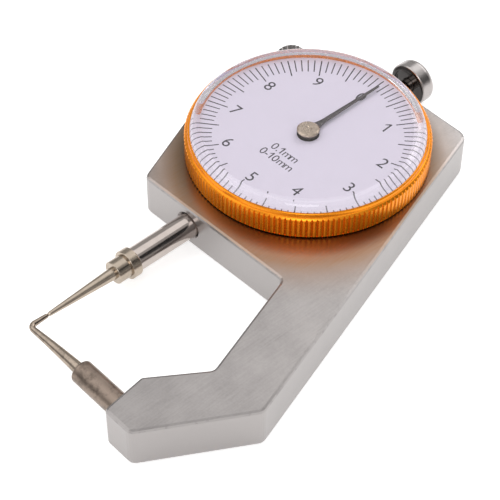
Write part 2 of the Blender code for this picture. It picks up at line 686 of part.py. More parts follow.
def pinion_outline():
    """Involute teeth, with a tooth space facing the rack on the -X side."""
    base = PITCH_RADIUS * math.cos(PRESSURE_ANGLE)
    root = PITCH_RADIUS - DEDENDUM
    pitch = 2.0 * math.pi / PINION_TEETH
    half_at_pitch = TOOTH_THICKNESS / (2.0 * PITCH_RADIUS)
    turned_in = math.tan(PRESSURE_ANGLE) - PRESSURE_ANGLE
    flank = [(root, half_at_pitch + turned_in)]
    for step in range(FLANK_POINTS):
        radius = base + (PINION_TIP - base) * step / (FLANK_POINTS - 1)
        lean = math.acos(min(base / radius, 1.0))
        flank.append((radius, half_at_pitch + turned_in - (math.tan(lean) - lean)))
    points = []
    for tooth in range(PINION_TEETH):
        middle = math.pi + (tooth + 0.5) * pitch
        for radius, half in flank:
            points.append((radius * math.cos(middle - half), radius * math.sin(middle - half)))
        for radius, half in reversed(flank):
            points.append((radius * math.cos(middle + half), radius * math.sin(middle + half)))
    return points


def make_pinion():
    pinion = add_piece("pinion", prism("pinion", pinion_outline(), PINION_LOW, PINION_TOP), "brass")
    arbor = turned("arbor", [
        (0.0, BRIDGE_LOW), (PIVOT_RADIUS, BRIDGE_LOW), (PIVOT_RADIUS, BRIDGE_TOP + SEAT_GAP),
        (PINION_HUB_RADIUS, BRIDGE_TOP + SEAT_GAP), (PINION_HUB_RADIUS, CHAMBER_DEPTH - SEAT_GAP),
        (ARBOR_RADIUS, CHAMBER_DEPTH - SEAT_GAP), (ARBOR_RADIUS, ARBOR_TOP), (0.0, ARBOR_TOP),
    ])
    combine(pinion, add_tool("arbor", arbor), "UNION")


def rack_outline():
    """Space in front of the rack: a toothed edge cut into the spindle's flank."""
    tip = -PITCH_RADIUS + RACK_ADDENDUM
    root = -PITCH_RADIUS - DEDENDUM
    tip_half = TOOTH_THICKNESS / 2.0 - RACK_ADDENDUM * math.tan(PRESSURE_ANGLE)
    root_half = TOOTH_THICKNESS / 2.0 + DEDENDUM * math.tan(PRESSURE_ANGLE)
    reach = PINION_TIP + RACK_MARGIN
    lowest = -math.ceil((TRAVEL + PINION_TIP) / RACK_PITCH)
    highest = math.ceil(PINION_TIP / RACK_PITCH)
    edge = [(tip, -TRAVEL - reach)]
    for tooth in range(lowest, highest + 1):
        middle = tooth * RACK_PITCH
        edge += [(root, middle - root_half), (tip, middle - tip_half), (tip, middle + tip_half)]
        edge.append((root, middle + root_half))
    edge.append((tip, reach))
    front = SPINDLE_RADIUS
    return [(front, -TRAVEL - reach)] + [(front, reach)] + edge[::-1]


def make_spindle():
    shank = POINT_SHANK_RADIUS + SEAT_GAP
    seat = SPINDLE_END + POINT_SHANK_LENGTH + SEAT_GAP
    profile = [
        (0.0, seat), (shank, seat), (shank, SPINDLE_END),
        (SPINDLE_RADIUS - SPINDLE_CHAMFER, SPINDLE_END), (SPINDLE_RADIUS, SPINDLE_END + SPINDLE_CHAMFER),
        (SPINDLE_RADIUS, SHOULDER_REACH - SPINDLE_CHAMFER), (SPINDLE_RADIUS - SPINDLE_CHAMFER, SHOULDER_REACH),
        (STEM_RADIUS, SHOULDER_REACH), (STEM_RADIUS, STEM_END), (0.0, STEM_END),
    ]
    place = (-SPINDLE_OFFSET, 0.0, SPINDLE_HEIGHT)
    spindle = add_piece("spindle", turned("spindle", profile), "polished_steel", place, TURN_TO_Y)
    rack = prism("rack_cut", rack_outline(), SPINDLE_HEIGHT - SPINDLE_RADIUS - CUT_OVERRUN,
                 SPINDLE_HEIGHT + SPINDLE_RADIUS + CUT_OVERRUN)
    combine(spindle, add_tool("rack_cut", rack))
    top = SPINDLE_HEIGHT + SPINDLE_RADIUS
    pin_hole = rod(GUIDE_PIN_RADIUS + SEAT_GAP, top - GUIDE_PIN_SEAT - SEAT_GAP, top + CUT_OVERRUN)
    pin_place = (-SPINDLE_OFFSET, -GUIDE_PIN_PLACE, 0.0)
    combine(spindle, add_tool("pin_hole", turned("pin_hole", pin_hole, SMALL_STEPS), pin_place))


def make_guide_pin():
    top = SPINDLE_HEIGHT + SPINDLE_RADIUS
    pin = rod(GUIDE_PIN_RADIUS, top - GUIDE_PIN_SEAT, CHAMBER_DEPTH + GUIDE_SLOT_DEPTH - SEAT_GAP)
    add_piece("guide_pin", turned("guide_pin", pin, SMALL_STEPS), "polished_steel",
              (-SPINDLE_OFFSET, -GUIDE_PIN_PLACE, 0.0))


def make_contact_point():
    face = SPINDLE_END - SEAT_GAP
    profile = [
        (0.0, SPINDLE_END + POINT_SHANK_LENGTH), (POINT_SHANK_RADIUS, SPINDLE_END + POINT_SHANK_LENGTH),
        (POINT_SHANK_RADIUS, face), (POINT_COLLAR_RADIUS - POINT_CHAMFER, face),
        (POINT_COLLAR_RADIUS, face - POINT_CHAMFER), (POINT_COLLAR_RADIUS, COLLAR_END + POINT_CHAMFER),
        (POINT_COLLAR_RADIUS - POINT_CHAMFER, COLLAR_END), (POINT_NECK_RADIUS, COLLAR_END),
        (POINT_NECK_RADIUS, NECK_END + POINT_CHAMFER), (POINT_NECK_RADIUS - POINT_CHAMFER, NECK_END),
        (POINT_ROOT_RADIUS, NECK_END), (POINT_TIP_RADIUS, POINT_TIP), (0.0, POINT_TIP),
    ]
    add_piece("contact_point", turned("contact_point", profile), "nickel",
              (-SPINDLE_OFFSET, 0.0, SPINDLE_HEIGHT), TURN_TO_Y)


def make_lift_knob():
    bore = STEM_RADIUS + SEAT_GAP
    top = KNOB_LOW + KNOB_LENGTH
    hollow = KNOB_LOW + KNOB_HOLLOW_DEPTH
    profile = [
        (0.0, KNOB_LOW + KNOB_BORE_DEPTH), (bore, KNOB_LOW + KNOB_BORE_DEPTH), (bore, hollow),
        (KNOB_HOLLOW_RADIUS, hollow), (KNOB_HOLLOW_RADIUS, KNOB_LOW), (KNOB_RADIUS - KNOB_CHAMFER, KNOB_LOW),
        (KNOB_RADIUS, KNOB_LOW + KNOB_CHAMFER),
    ]
    profile += arc((KNOB_RADIUS - KNOB_ROUND, top - KNOB_ROUND), KNOB_ROUND, 0.0, math.pi / 2.0, CORNER_STEPS)
    profile.append((0.0, top))
    add_piece("lift_knob", turned("lift_knob", profile), "chrome",
              (-SPINDLE_OFFSET, 0.0, SPINDLE_HEIGHT), TURN_TO_Y)


def make_bushes():
    place = (-SPINDLE_OFFSET, 0.0, SPINDLE_HEIGHT)
    bore = SPINDLE_RADIUS + RUN_GAP
    low = -BODY_FLOOR + LOWER_BUSH_INSET
    lower = [
        (bore + BUSH_CHAMFER, low), (LOWER_BUSH_RADIUS, low), (LOWER_BUSH_RADIUS, low + LOWER_BUSH_LENGTH),
        (bore, low + LOWER_BUSH_LENGTH), (bore, low + BUSH_CHAMFER),
    ]
    add_piece("lower_bush", turned("lower_bush", lower), "polished_steel", place, TURN_TO_Y)
    bore = STEM_RADIUS + RUN_GAP
    upper = [
        (bore, UPPER_BUSH_LOW), (UPPER_BUSH_RADIUS, UPPER_BUSH_LOW), (UPPER_BUSH_RADIUS, BODY_TOP),
        (bore + BUSH_CHAMFER, BODY_TOP), (bore, BODY_TOP - BUSH_CHAMFER),
    ]
    add_piece("upper_bush", turned("upper_bush", upper), "brass", place, TURN_TO_Y)


def wire(name, points, thickness):
    """Round wire along a line of points, with closed ends."""
    curve = bpy.data.curves.new(name, "CURVE")
    curve.dimensions = "3D"
    curve.bevel_depth = thickness / 2.0
    curve.bevel_resolution = 1
    curve.use_fill_caps = True
    spline = curve.splines.new("POLY")
    spline.points.add(len(points) - 1)
    for spot, (x, y, z) in zip(spline.points, points):
        spot.co = (x, y, z, 1.0)
    return curve


def least_gap(points, thickness, skip):
    """Smallest clear space between parts of a wire that are not neighbours."""
    spots = [Vector(point) for point in points]
    nearest = min((a - b).length for index, a in enumerate(spots) for b in spots[index + skip:])
    return nearest - thickness


def make_return_spring():
    """Open coil whose wire ends run straight into the shoulder and the bush."""
    shoulder = SHOULDER_REACH + SPRING_END_GAP
    bush = UPPER_BUSH_LOW - SPRING_END_GAP
    low = shoulder + SPRING_WIRE
    high = bush - SPRING_WIRE
    count = SPRING_TURNS * SPRING_CURL_POINTS
    points = [(SPRING_RADIUS, 0.0, shoulder)]
    for index in range(count + 1):
        angle = 2.0 * math.pi * index / SPRING_CURL_POINTS
        height = low + (high - low) * index / count
        points.append((SPRING_RADIUS * math.cos(angle), SPRING_RADIUS * math.sin(angle), height))
    points.append((SPRING_RADIUS, 0.0, bush))
    print("return spring's least gap to itself:", least_gap(points, SPRING_WIRE, SPRING_CURL_POINTS // 2))
    add_piece("return_spring", wire("return_spring", points, SPRING_WIRE), "spring_steel",
              (-SPINDLE_OFFSET, 0.0, SPINDLE_HEIGHT), TURN_TO_Y)


def make_bezel_spring():
    height = (RING_GROOVE_LOW + RING_GROOVE_TOP) / 2.0
    start = RING_OPENING / 2.0
    swept = 2.0 * math.pi - RING_OPENING
    points = []
    for index in range(RING_POINTS):
        angle = start + swept * index / (RING_POINTS - 1)
        points.append((RING_RADIUS * math.cos(angle), RING_RADIUS * math.sin(angle), height))
    add_piece("bezel_spring", wire("bezel_spring", points, RING_WIRE), "spring_steel")


def anvil_path():
    """Route and radius of the anvil needle, from its shank to its tip."""
    bend_x = -SPINDLE_OFFSET + ANVIL_CURVE
    spots = [(ANVIL_POST_END + ANVIL_SHANK, -ANVIL_LEVEL, ANVIL_ROOT_RADIUS)]
    for step in range(ANVIL_ARM_POINTS + 1):
        share = step / ANVIL_ARM_POINTS
        x = ANVIL_POST_END + (bend_x - ANVIL_POST_END) * share
        radius = ANVIL_ROOT_RADIUS + (ANVIL_BEND_RADIUS - ANVIL_ROOT_RADIUS) * share
        spots.append((x, -ANVIL_LEVEL - ANVIL_SAG * share, radius))
    centre = (bend_x, -ANVIL_LEVEL - ANVIL_SAG + ANVIL_CURVE)
    curve = arc(centre, ANVIL_CURVE, -math.pi / 2.0, -math.pi, ANVIL_CURVE_POINTS)
    spots += [(x, y, ANVIL_BEND_RADIUS) for x, y in curve[1:]]
    spots.append((-SPINDLE_OFFSET, ANVIL_TIP, ANVIL_TIP_RADIUS))
    return spots


def make_anvil_needle():
    """Bent needle: one tube whose radius falls from the root to the tip."""
    spots = anvil_path()
    curve = wire("anvil_needle", [(x, y, 0.0) for x, y, radius in spots], 2.0 * ANVIL_ROOT_RADIUS)
    curve.bevel_resolution = 4
    for spot, (x, y, radius) in zip(curve.splines[0].points, spots):
        spot.radius = radius / ANVIL_ROOT_RADIUS
    add_piece("anvil_needle", curve, "nickel", (0.0, 0.0, SPINDLE_HEIGHT))


def make_anvil_post():
    bore = ANVIL_ROOT_RADIUS + SEAT_GAP
    face = -ANVIL_POST_REACH
    rounding = arc((ANVIL_POST_RADIUS - ANVIL_POST_ROUND, face + ANVIL_POST_ROUND), ANVIL_POST_ROUND,
                   -math.pi / 2.0, 0.0, CORNER_STEPS)
    profile = [(0.0, face + ANVIL_SHANK + SEAT_GAP), (bore, face + ANVIL_SHANK + SEAT_GAP), (bore, face)]
    profile += rounding + [(ANVIL_POST_RADIUS, ANVIL_POST_SEAT), (0.0, ANVIL_POST_SEAT)]
    add_piece("anvil_post", turned("anvil_post", profile), "nickel",
              (FOOT_FACE, -ANVIL_LEVEL, SPINDLE_HEIGHT), TURN_TO_X)


def bezel_blank_profile():
    """Turned ring of the bezel, before its knurl is cut."""
    groove = BEZEL_BORE + RING_GROOVE_DEPTH
    dial_seat = DIAL_RADIUS + SEAT_GAP
    crystal_seat = CRYSTAL_RADIUS + SEAT_GAP
    lip = crystal_seat + BEZEL_LIP_WIDTH
    outer = BEZEL_RADIUS + KNURL_CHAMFER
    return [
        (BEZEL_BORE, BEZEL_LOW), (BEZEL_RADIUS - BEZEL_FOOT_CHAMFER, BEZEL_LOW),
        (outer, BEZEL_LOW + BEZEL_FOOT_CHAMFER + KNURL_CHAMFER), (outer, KNURL_TOP - 2.0 * KNURL_CHAMFER),
        (BEZEL_RADIUS - KNURL_CHAMFER, KNURL_TOP), (lip, KNURL_TOP + BEZEL_STEP_HEIGHT),
        (lip, BEZEL_TOP), (crystal_seat, BEZEL_TOP), (crystal_seat, BEZEL_TOP - CRYSTAL_SEAT_DROP),
        (dial_seat, BEZEL_TOP - CRYSTAL_SEAT_DROP), (dial_seat, BEZEL_TOP - DIAL_SEAT_DROP),
        (BEZEL_BORE, BEZEL_TOP - DIAL_SEAT_DROP), (BEZEL_BORE, RING_GROOVE_TOP),
        (groove, RING_GROOVE_TOP), (groove, RING_GROOVE_LOW), (BEZEL_BORE, RING_GROOVE_LOW),
    ]


def make_bezel():
    bezel = add_piece("bezel", turned("bezel", bezel_blank_profile(), BIG_STEPS), "orange_anodised")
    outline = knurled_outline(BEZEL_RADIUS, KNURL_TEETH, KNURL_DEPTH)
    knurl = prism("bezel_knurl", outline, BEZEL_LOW - CUT_OVERRUN, BEZEL_TOP + CUT_OVERRUN)
    combine(bezel, add_tool("bezel_knurl", knurl), "INTERSECT")


def make_dial_plate():
    add_piece("dial_plate", turned("dial_plate", tube(DIAL_HOLE_RADIUS, DIAL_RADIUS, DIAL_LOW, DIAL_TOP), BIG_STEPS),
              "dial_white")


def make_crystal():
    """Clear cap with an upright wall, a rounded shoulder and a nearly flat top."""
    inner = CRYSTAL_RADIUS - CRYSTAL_WALL
    edge = CRYSTAL_RADIUS - CRYSTAL_SHOULDER
    ceiling = CRYSTAL_SHOULDER_TOP - CRYSTAL_ROOF
    corner = inner - CRYSTAL_INNER_ROUND
    profile = [(inner, CRYSTAL_LOW), (CRYSTAL_RADIUS, CRYSTAL_LOW)]
    profile += arc((edge, CRYSTAL_SHOULDER_TOP - CRYSTAL_SHOULDER), CRYSTAL_SHOULDER, 0.0, math.pi / 2.0,
                   SHOULDER_STEPS)
    midway = CRYSTAL_DOME * CRYSTAL_MIDWAY_SHARE
    profile += [(edge / 2.0, CRYSTAL_SHOULDER_TOP + midway), (0.0, CRYSTAL_SHOULDER_TOP + CRYSTAL_DOME)]
    roof = [(0.0, ceiling + CRYSTAL_DOME), (edge / 2.0, ceiling + midway)]
    fillet = arc((corner, ceiling - CRYSTAL_INNER_ROUND), CRYSTAL_INNER_ROUND, math.pi / 2.0, 0.0, INNER_ROUND_STEPS)
    add_piece("crystal", turned("crystal", profile + roof + fillet, BIG_STEPS), "clear_plastic")


def pointer_outline():
    """The hand flares into its ring at the hub and narrows slowly to the tip."""
    lean = math.asin(POINTER_ROOT_WIDTH / (2.0 * POINTER_RING_RADIUS))
    ring = arc((0.0, 0.0), POINTER_RING_RADIUS, math.pi / 2.0 + lean, 2.5 * math.pi - lean, SMALL_STEPS)
    root = POINTER_RING_RADIUS * math.cos(lean)
    side = []
    for step in range(1, POINTER_FLARE_POINTS + 1):
        share = step / POINTER_FLARE_POINTS
        width = POINTER_WAIST_WIDTH + (POINTER_ROOT_WIDTH - POINTER_WAIST_WIDTH) * (1.0 - share) ** 3
        side.append((width / 2.0, root + (POINTER_WAIST_REACH - root) * share))
    side.append((POINTER_TIP_WIDTH / 2.0, POINTER_REACH))
    return ring + side + [(-x, y) for x, y in reversed(side)]


def make_pointer():
    hand = prism("pointer", pointer_outline(), POINTER_LOW, POINTER_LOW + POINTER_THICKNESS)
    pointer = add_piece("pointer", hand, "dark_steel")
    hole = rod(POINTER_NECK_RADIUS + SEAT_GAP / 2.0, POINTER_LOW - CUT_OVERRUN, POINTER_LOW + CUT_OVERRUN)
    combine(pointer, add_tool("pointer_hole", turned("pointer_hole", hole)))


def make_pointer_hub():
    bore = ARBOR_RADIUS + SEAT_GAP
    drum = [
        (bore, HUB_LOW), (HUB_RADIUS, HUB_LOW), (HUB_RADIUS, HUB_TOP),
        (POINTER_NECK_RADIUS, HUB_TOP), (POINTER_NECK_RADIUS, NECK_TOP), (bore, NECK_TOP),
    ]
    add_piece("pointer_hub", turned("pointer_hub", drum), "nickel")
    cap = [
        (0.0, CAP_LOW + CAP_BORE_DEPTH), (bore, CAP_LOW + CAP_BORE_DEPTH), (bore, CAP_LOW), (CAP_RADIUS, CAP_LOW),
        (CAP_RADIUS, CAP_TOP - CAP_CHAMFER), (CAP_RADIUS - CAP_CHAMFER, CAP_TOP),
        (CAP_DIMPLE_RADIUS, CAP_TOP), (0.0, CAP_TOP - CAP_DIMPLE_DEPTH),
    ]
    add_piece("hub_cap", turned("hub_cap", cap), "nickel")


def make_lock_screw():
    """Knurled head, neck and threaded shank whose nose stops short of the spindle."""
    place, turn = lock_frame()
    nose = -lock_nose_depth()
    head_low = LOCK_NECK_LENGTH
    head_top = head_low + LOCK_HEAD_LENGTH
    flank = LOCK_HEAD_RADIUS + LOCK_HEAD_CHAMFER
    profile = [
        (0.0, nose), (LOCK_TIP_RADIUS, nose), (LOCK_TIP_RADIUS, nose + LOCK_TIP_LENGTH),
        (LOCK_THREAD_RADIUS, nose + LOCK_TIP_LENGTH), (LOCK_THREAD_RADIUS, SEAT_GAP),
        (LOCK_NECK_RADIUS, SEAT_GAP), (LOCK_NECK_RADIUS, head_low),
        (LOCK_HEAD_RADIUS - LOCK_HEAD_CHAMFER, head_low), (flank, head_low + 2.0 * LOCK_HEAD_CHAMFER),
        (flank, head_top - 2.0 * LOCK_HEAD_CHAMFER), (LOCK_HEAD_RADIUS - LOCK_HEAD_CHAMFER, head_top),
        (0.0, head_top),
    ]
    screw = add_piece("lock_screw", turned("lock_screw", profile), "chrome", place, turn)
    outline = knurled_outline(LOCK_HEAD_RADIUS, LOCK_HEAD_TEETH, LOCK_HEAD_KNURL)
    knurl = prism("lock_knurl", outline, nose - CUT_OVERRUN, head_top + CUT_OVERRUN)
    combine(screw, add_tool("lock_knurl", knurl, place, turn), "INTERSECT")


def lock_nose_depth():
    """Depth at which the slanted nose's corner stays clear of the spindle."""
    place, turn = lock_frame()
    outward = turn.col[2]
    corner = LOCK_TIP_RADIUS * abs(outward.y / outward.x)
    return abs(lock_reach()) - corner - LOCK_TIP_GAP


def main():
    clear_scene()
    make_frame_body()
    make_rear_cover()
    make_cover_screws()
    make_movement_plate()
    make_bridge_screws()
    make_bearings()
    make_pinion()
    make_spindle()
    make_guide_pin()
    make_contact_point()
    make_lift_knob()
    make_bushes()
    make_return_spring()
    make_anvil_post()
    make_anvil_needle()
    make_bezel_spring()
    make_bezel()
    make_dial_plate()
    make_crystal()
    make_pointer()
    make_pointer_hub()
    make_lock_screw()


main()
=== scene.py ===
"""Dial thickness gauge: fine metal surfaces, printed dial, clear cap and a plain studio.

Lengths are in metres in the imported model's frame: +X to the right on the dial, +Y along
the spindle to the lift knob, +Z out of the dial. Sizes written in millimetres are
multiplied by MM.
"""

import json
import math

import bmesh
import bpy
from mathutils import Matrix, Vector


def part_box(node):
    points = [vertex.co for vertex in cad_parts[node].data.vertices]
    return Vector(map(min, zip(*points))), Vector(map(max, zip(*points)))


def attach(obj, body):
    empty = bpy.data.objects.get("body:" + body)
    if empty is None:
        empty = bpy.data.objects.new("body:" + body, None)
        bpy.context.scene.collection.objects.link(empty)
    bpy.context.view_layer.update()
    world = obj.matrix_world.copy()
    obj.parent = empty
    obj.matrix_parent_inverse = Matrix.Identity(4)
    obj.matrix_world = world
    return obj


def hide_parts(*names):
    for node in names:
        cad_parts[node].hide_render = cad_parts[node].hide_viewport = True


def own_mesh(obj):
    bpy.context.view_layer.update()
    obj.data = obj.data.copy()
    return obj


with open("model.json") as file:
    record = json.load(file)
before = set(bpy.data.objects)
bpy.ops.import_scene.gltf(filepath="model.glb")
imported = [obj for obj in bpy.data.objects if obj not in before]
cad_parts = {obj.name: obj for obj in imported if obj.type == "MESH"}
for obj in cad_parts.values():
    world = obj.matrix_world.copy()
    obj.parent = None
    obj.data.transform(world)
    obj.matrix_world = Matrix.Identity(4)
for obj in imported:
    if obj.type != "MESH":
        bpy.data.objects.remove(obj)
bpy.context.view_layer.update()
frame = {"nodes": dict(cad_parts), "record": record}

bl_info = {
    "name": "Dial thickness gauge",
    "version": (1, 0, 0),
    "blender": (4, 5, 0),
    "location": "3D View > Sidebar > Gauge",
    "description": "Fine surfaces of a pocket dial thickness gauge",
    "category": "Object",
}

MM = 0.001

# Places that the pieces share, in millimetres
SPINDLE_X = -3.0
SPINDLE_Z = 4.1
ANVIL_Y = -57.2
LOCK_PLACE = Vector((-18.99, 14.74, SPINDLE_Z))
LOCK_OUT = Vector((-0.78633, 0.61781, 0.0))

# Turns that lay a piece turned about Z along another axis
ALONG_Y = Matrix.Rotation(math.radians(-90.0), 4, "X")
ALONG_X = Matrix.Rotation(math.radians(90.0), 4, "Y")

# The print sits a little off the dial's middle, and stands this high, in millimetres
PRINT_SHIFT = Matrix.Translation((0.18 * MM, -0.18 * MM, 0.0))
INK_HEIGHT = 0.012

# A side longer than this gets a guard point this far from both its ends, in millimetres
LONG_SIDE = 0.5
GUARD = 0.05

# Edges that bend by more than this, in degrees, are shaded sharp
SHARP_ANGLE = 30.0


# Shader nodes

class Level:
    """A socket that carries a number, so that sums with it are written as they read."""

    def __init__(self, finish, socket):
        self.finish = finish
        self.socket = socket

    def maths(self, operation, *items):
        node = self.finish.tree.nodes.new("ShaderNodeMath")
        node.operation = operation
        for socket, item in zip(node.inputs, items):
            self.finish.feed(socket, item)
        return Level(self.finish, node.outputs[0])

    def __add__(self, other):
        return self.maths("ADD", self, other)

    __radd__ = __add__

    def __sub__(self, other):
        return self.maths("SUBTRACT", self, other)

    def __rsub__(self, other):
        return self.maths("SUBTRACT", other, self)

    def __mul__(self, other):
        return self.maths("MULTIPLY", self, other)

    __rmul__ = __mul__

    def __truediv__(self, other):
        return self.maths("DIVIDE", self, other)

    def between(self, low, high):
        """0 below low, 1 above high and straight between them."""
        node = self.finish.tree.nodes.new("ShaderNodeMapRange")
        self.finish.feed(node.inputs["Value"], self)
        node.inputs["From Min"].default_value = low
        node.inputs["From Max"].default_value = high
        return Level(self.finish, node.outputs[0])


class Finish:
    """One material: a Principled shader, its constants and the nodes that vary it."""

    def __init__(self, name, **constants):
        self.material = bpy.data.materials.new(name)
        self.material.use_nodes = True
        self.tree = self.material.node_tree
        self.shader = self.tree.nodes["Principled BSDF"]
        for socket, value in constants.items():
            self.shader.inputs[socket.replace("_", " ")].default_value = value

    def feed(self, socket, item):
        """Link a level or a socket to a socket, or set its value."""
        if isinstance(item, Level):
            item = item.socket
        if isinstance(item, bpy.types.NodeSocket):
            self.tree.links.new(item, socket)
        else:
            socket.default_value = item

    def node(self, kind, settings, inputs, output=0):
        """Any node: its settings first, then the values or links of its sockets."""
        node = self.tree.nodes.new(kind)
        for name, value in settings.items():
            setattr(node, name, value)
        for name, item in inputs.items():
            self.feed(node.inputs[name], item)
        return node.outputs[output]

    def place(self, stretch=(1.0, 1.0, 1.0), turn=0.0):
        """Object coordinates, turned about Z by degrees and stretched."""
        spot = self.node("ShaderNodeTexCoord", {}, {}, "Object")
        return self.node("ShaderNodeMapping", {}, {
            "Vector": spot, "Rotation": (0.0, 0.0, math.radians(turn)), "Scale": stretch})

    def noise(self, scale, detail, place=None, rough=0.5):
        """Noise from 0 to 1, with its scale in cells to the metre."""
        inputs = {"Vector": place if place else self.place(), "Scale": scale, "Detail": detail,
                  "Roughness": rough}
        return Level(self, self.node("ShaderNodeTexNoise", {}, inputs, "Fac"))

    def radius(self, x, y, axis="Z"):
        """Distance in millimetres from a line along Z through (x, y), or along Y through x and z."""
        shift = {"Z": (-x * MM, -y * MM, 0.0), "Y": (-x * MM, 0.0, -y * MM)}[axis]
        flat = {"Z": (1.0, 1.0, 0.0), "Y": (1.0, 0.0, 1.0)}[axis]
        spot = self.node("ShaderNodeTexCoord", {}, {}, "Object")
        moved = self.node("ShaderNodeVectorMath", {"operation": "ADD"}, {0: spot, 1: shift})
        level = self.node("ShaderNodeVectorMath", {"operation": "MULTIPLY"}, {0: moved, 1: flat})
        reach = self.node("ShaderNodeVectorMath", {"operation": "LENGTH"}, {0: level}, "Value")
        return Level(self, reach) / MM

    def part(self, axis):
        """One coordinate in millimetres."""
        spot = self.node("ShaderNodeTexCoord", {}, {}, "Object")
        return Level(self, self.node("ShaderNodeSeparateXYZ", {}, {"Vector": spot}, axis)) / MM

    def upward(self):
        """How far the surface faces up, from -1 to 1."""
        normal = self.node("ShaderNodeTexCoord", {}, {}, "Normal")
        return Level(self, self.node("ShaderNodeSeparateXYZ", {}, {"Vector": normal}, "Z"))

    def blend(self, share, first, second):
        """Colour that runs from the first to the second."""
        return self.node("ShaderNodeMix", {"data_type": "RGBA"}, {"Factor": share, 6: first, 7: second}, 2)

    def bump(self, height, depth):
        """Surface relief of a height from 0 to 1, with its depth in millimetres."""
        return self.node("ShaderNodeBump", {}, {"Height": height, "Distance": depth * MM, "Strength": 1.0})

    def vary(self, **sockets):
        """Feed sockets of the shader, and return the material."""
        for socket, item in sockets.items():
            self.feed(self.shader.inputs[socket.replace("_", " ")], item)
        return self.material

    def show(self, shader):
        """Let another shader stand in front of the Principled one, and return the material."""
        self.feed(self.tree.nodes["Material Output"].inputs["Surface"], shader)
        return self.material


def rgb(colour, level=1.0):
    """Opaque colour, darkened or lifted by a level."""
    return (*(channel * level for channel in colour), 1.0)


def zinc_finish(colours):
    """Cast zinc, its top ground and given a plating: clouds, grain, scratches, darker edges with chips, sides
    darker by their cast tone and painted shade, painted light falling off towards the foot, and painted
    reflection and shadow round the bezel.
    """
    finish = Finish("zinc_skin", Metallic=1.0)
    zinc = colours.zinc
    cloud = finish.noise(170.0, 5.0, rough=0.6)
    grain = finish.noise(2600.0, 3.0)
    drawn = finish.noise(3400.0, 3.0, finish.place((1.0, 0.06, 1.0), -10.0))
    crossed = finish.noise(1700.0, 3.0, finish.place((1.0, 0.04, 1.0), 38.0))
    scratch = finish.noise(1300.0, 2.0, finish.place((1.0, 0.02, 1.0), -24.0))
    mark = scratch.between(0.64, 0.72) + crossed.between(0.63, 0.74) * 0.6
    pit = finish.noise(1500.0, 1.0).between(0.79, 0.83)
    up = finish.upward()
    top = up.between(0.75, 0.95)
    edge = up.between(0.05, 0.3) * (1.0 - up.between(0.8, 0.97))
    chip = finish.noise(900.0, 3.0).between(0.54, 0.62)
    near = (1.0 - finish.radius(3.0, -4.0).between(21.5, 30.5)) * top
    close = (1.0 - finish.radius(0.0, -1.0).between(20.5, 24.5)) * top
    tone = cloud * 0.55 + drawn * 0.25 + grain * 0.2
    # Painted light falloff: a shaded and a lit copy of the zinc, darker towards the foot and lighter towards
    # the bezel.
    shaded_zinc, lit_zinc = (finish.blend(tone.between(0.38, 0.62), rgb(zinc, 0.80 * level), rgb(zinc, level))
                    for level in (0.75, 1.14))
    plated_and_shaded = finish.blend(finish.part("Y").between(-60.0, 12.0), shaded_zinc, lit_zinc)
    # The sides are darker than the top: partly their duller cast tone, partly painted shade.
    skin = finish.blend(top, rgb(zinc, 0.80), plated_and_shaded)
    # Painted reflection: a warm orange ring on the top round the bezel stands in for the bezel's reflection
    # in the frame.
    warm = finish.blend(near * near * (0.7 + drawn * 0.5), skin, rgb(colours.zinc_painted_reflection))
    # Painted shadow: a dark brown ring on the top close round the bezel stands in for the shade under it.
    painted_bezel_shadow = finish.blend(close * 0.85, warm, rgb(colours.zinc_painted_shadow))
    # The rounded edges are darkened, more where the chip noise is high.
    edge_tone = finish.blend(edge * (0.10 + chip * 0.25), painted_bezel_shadow, rgb(zinc, 0.38))
    colour = finish.blend(pit * 0.5, edge_tone, rgb(zinc, 0.42))
    relief = grain * 0.5 + drawn * 0.8 - mark * 0.5 - pit * 1.5
    return finish.vary(Base_Color=colour, Roughness=0.22 + cloud * 0.12 + grain * 0.06,
                       Normal=finish.bump(relief, 0.009))


def anodised_finish(colours):
    """Orange anodised aluminium: painted shade in the grooves, painted highlight on the outer lands, and
    paler at the cap's seat.
    """
    finish = Finish("orange_rim", Metallic=0.75)
    cloud = finish.noise(300.0, 3.0)
    streak = finish.noise(1800.0, 2.0, finish.place((1.0, 1.0, 0.05)))
    reach = finish.radius(0.0, 0.0)
    height = finish.part("Z")
    # Painted shade: the knurl's grooves below the shoulder are painted a deeper orange.
    groove = (1.0 - reach.between(20.70, 20.96)) * reach.between(20.6, 20.70)
    low = 1.0 - height.between(11.9, 12.3)
    # Painted highlight: the outermost lands are painted paler and yellower, in streaks.
    edge_tone = reach.between(20.985, 21.0) * streak.between(0.42, 0.62)
    seat = (1.0 - reach.between(20.03, 20.05)) * height.between(12.1, 12.3)
    plain = finish.blend(cloud.between(0.35, 0.7), rgb(colours.bezel, 0.88), rgb(colours.bezel))
    painted_groove_shade = finish.blend(groove * low, plain, rgb(colours.bezel_painted_groove_shade))
    rim = finish.blend(edge_tone * 0.3, painted_groove_shade, rgb(colours.bezel_painted_highlight))
    colour = finish.blend(seat, rim, rgb(colours.crystal_haze))
    return finish.vary(Base_Color=colour, Roughness=0.20 + cloud * 0.10 + streak * 0.05)


def turned_finish(name, base, rough, axis, rings=900.0, depth=0.002, patch=0.06, stain=0.0):
    """Turned metal: fine rings round its axis over a cloudy sheen, and dark stains if there are any."""
    finish = Finish(name, Metallic=1.0)
    stretch = {"X": (1.0, 0.02, 0.02), "Y": (0.02, 1.0, 0.02), "Z": (0.02, 0.02, 1.0)}[axis]
    ring = finish.noise(rings, 3.0, finish.place(stretch))
    cloud = finish.noise(400.0, 3.0)
    colour = finish.blend(cloud.between(0.3, 0.7), rgb(base, 0.92), rgb(base))
    if stain > 0.0:
        blotch = finish.noise(620.0, 5.0, rough=0.65).between(0.46, 0.64)
        colour = finish.blend(blotch * stain, colour, rgb(base, 0.30))
    return finish.vary(Base_Color=colour, Roughness=rough + cloud * patch, Normal=finish.bump(ring, depth))


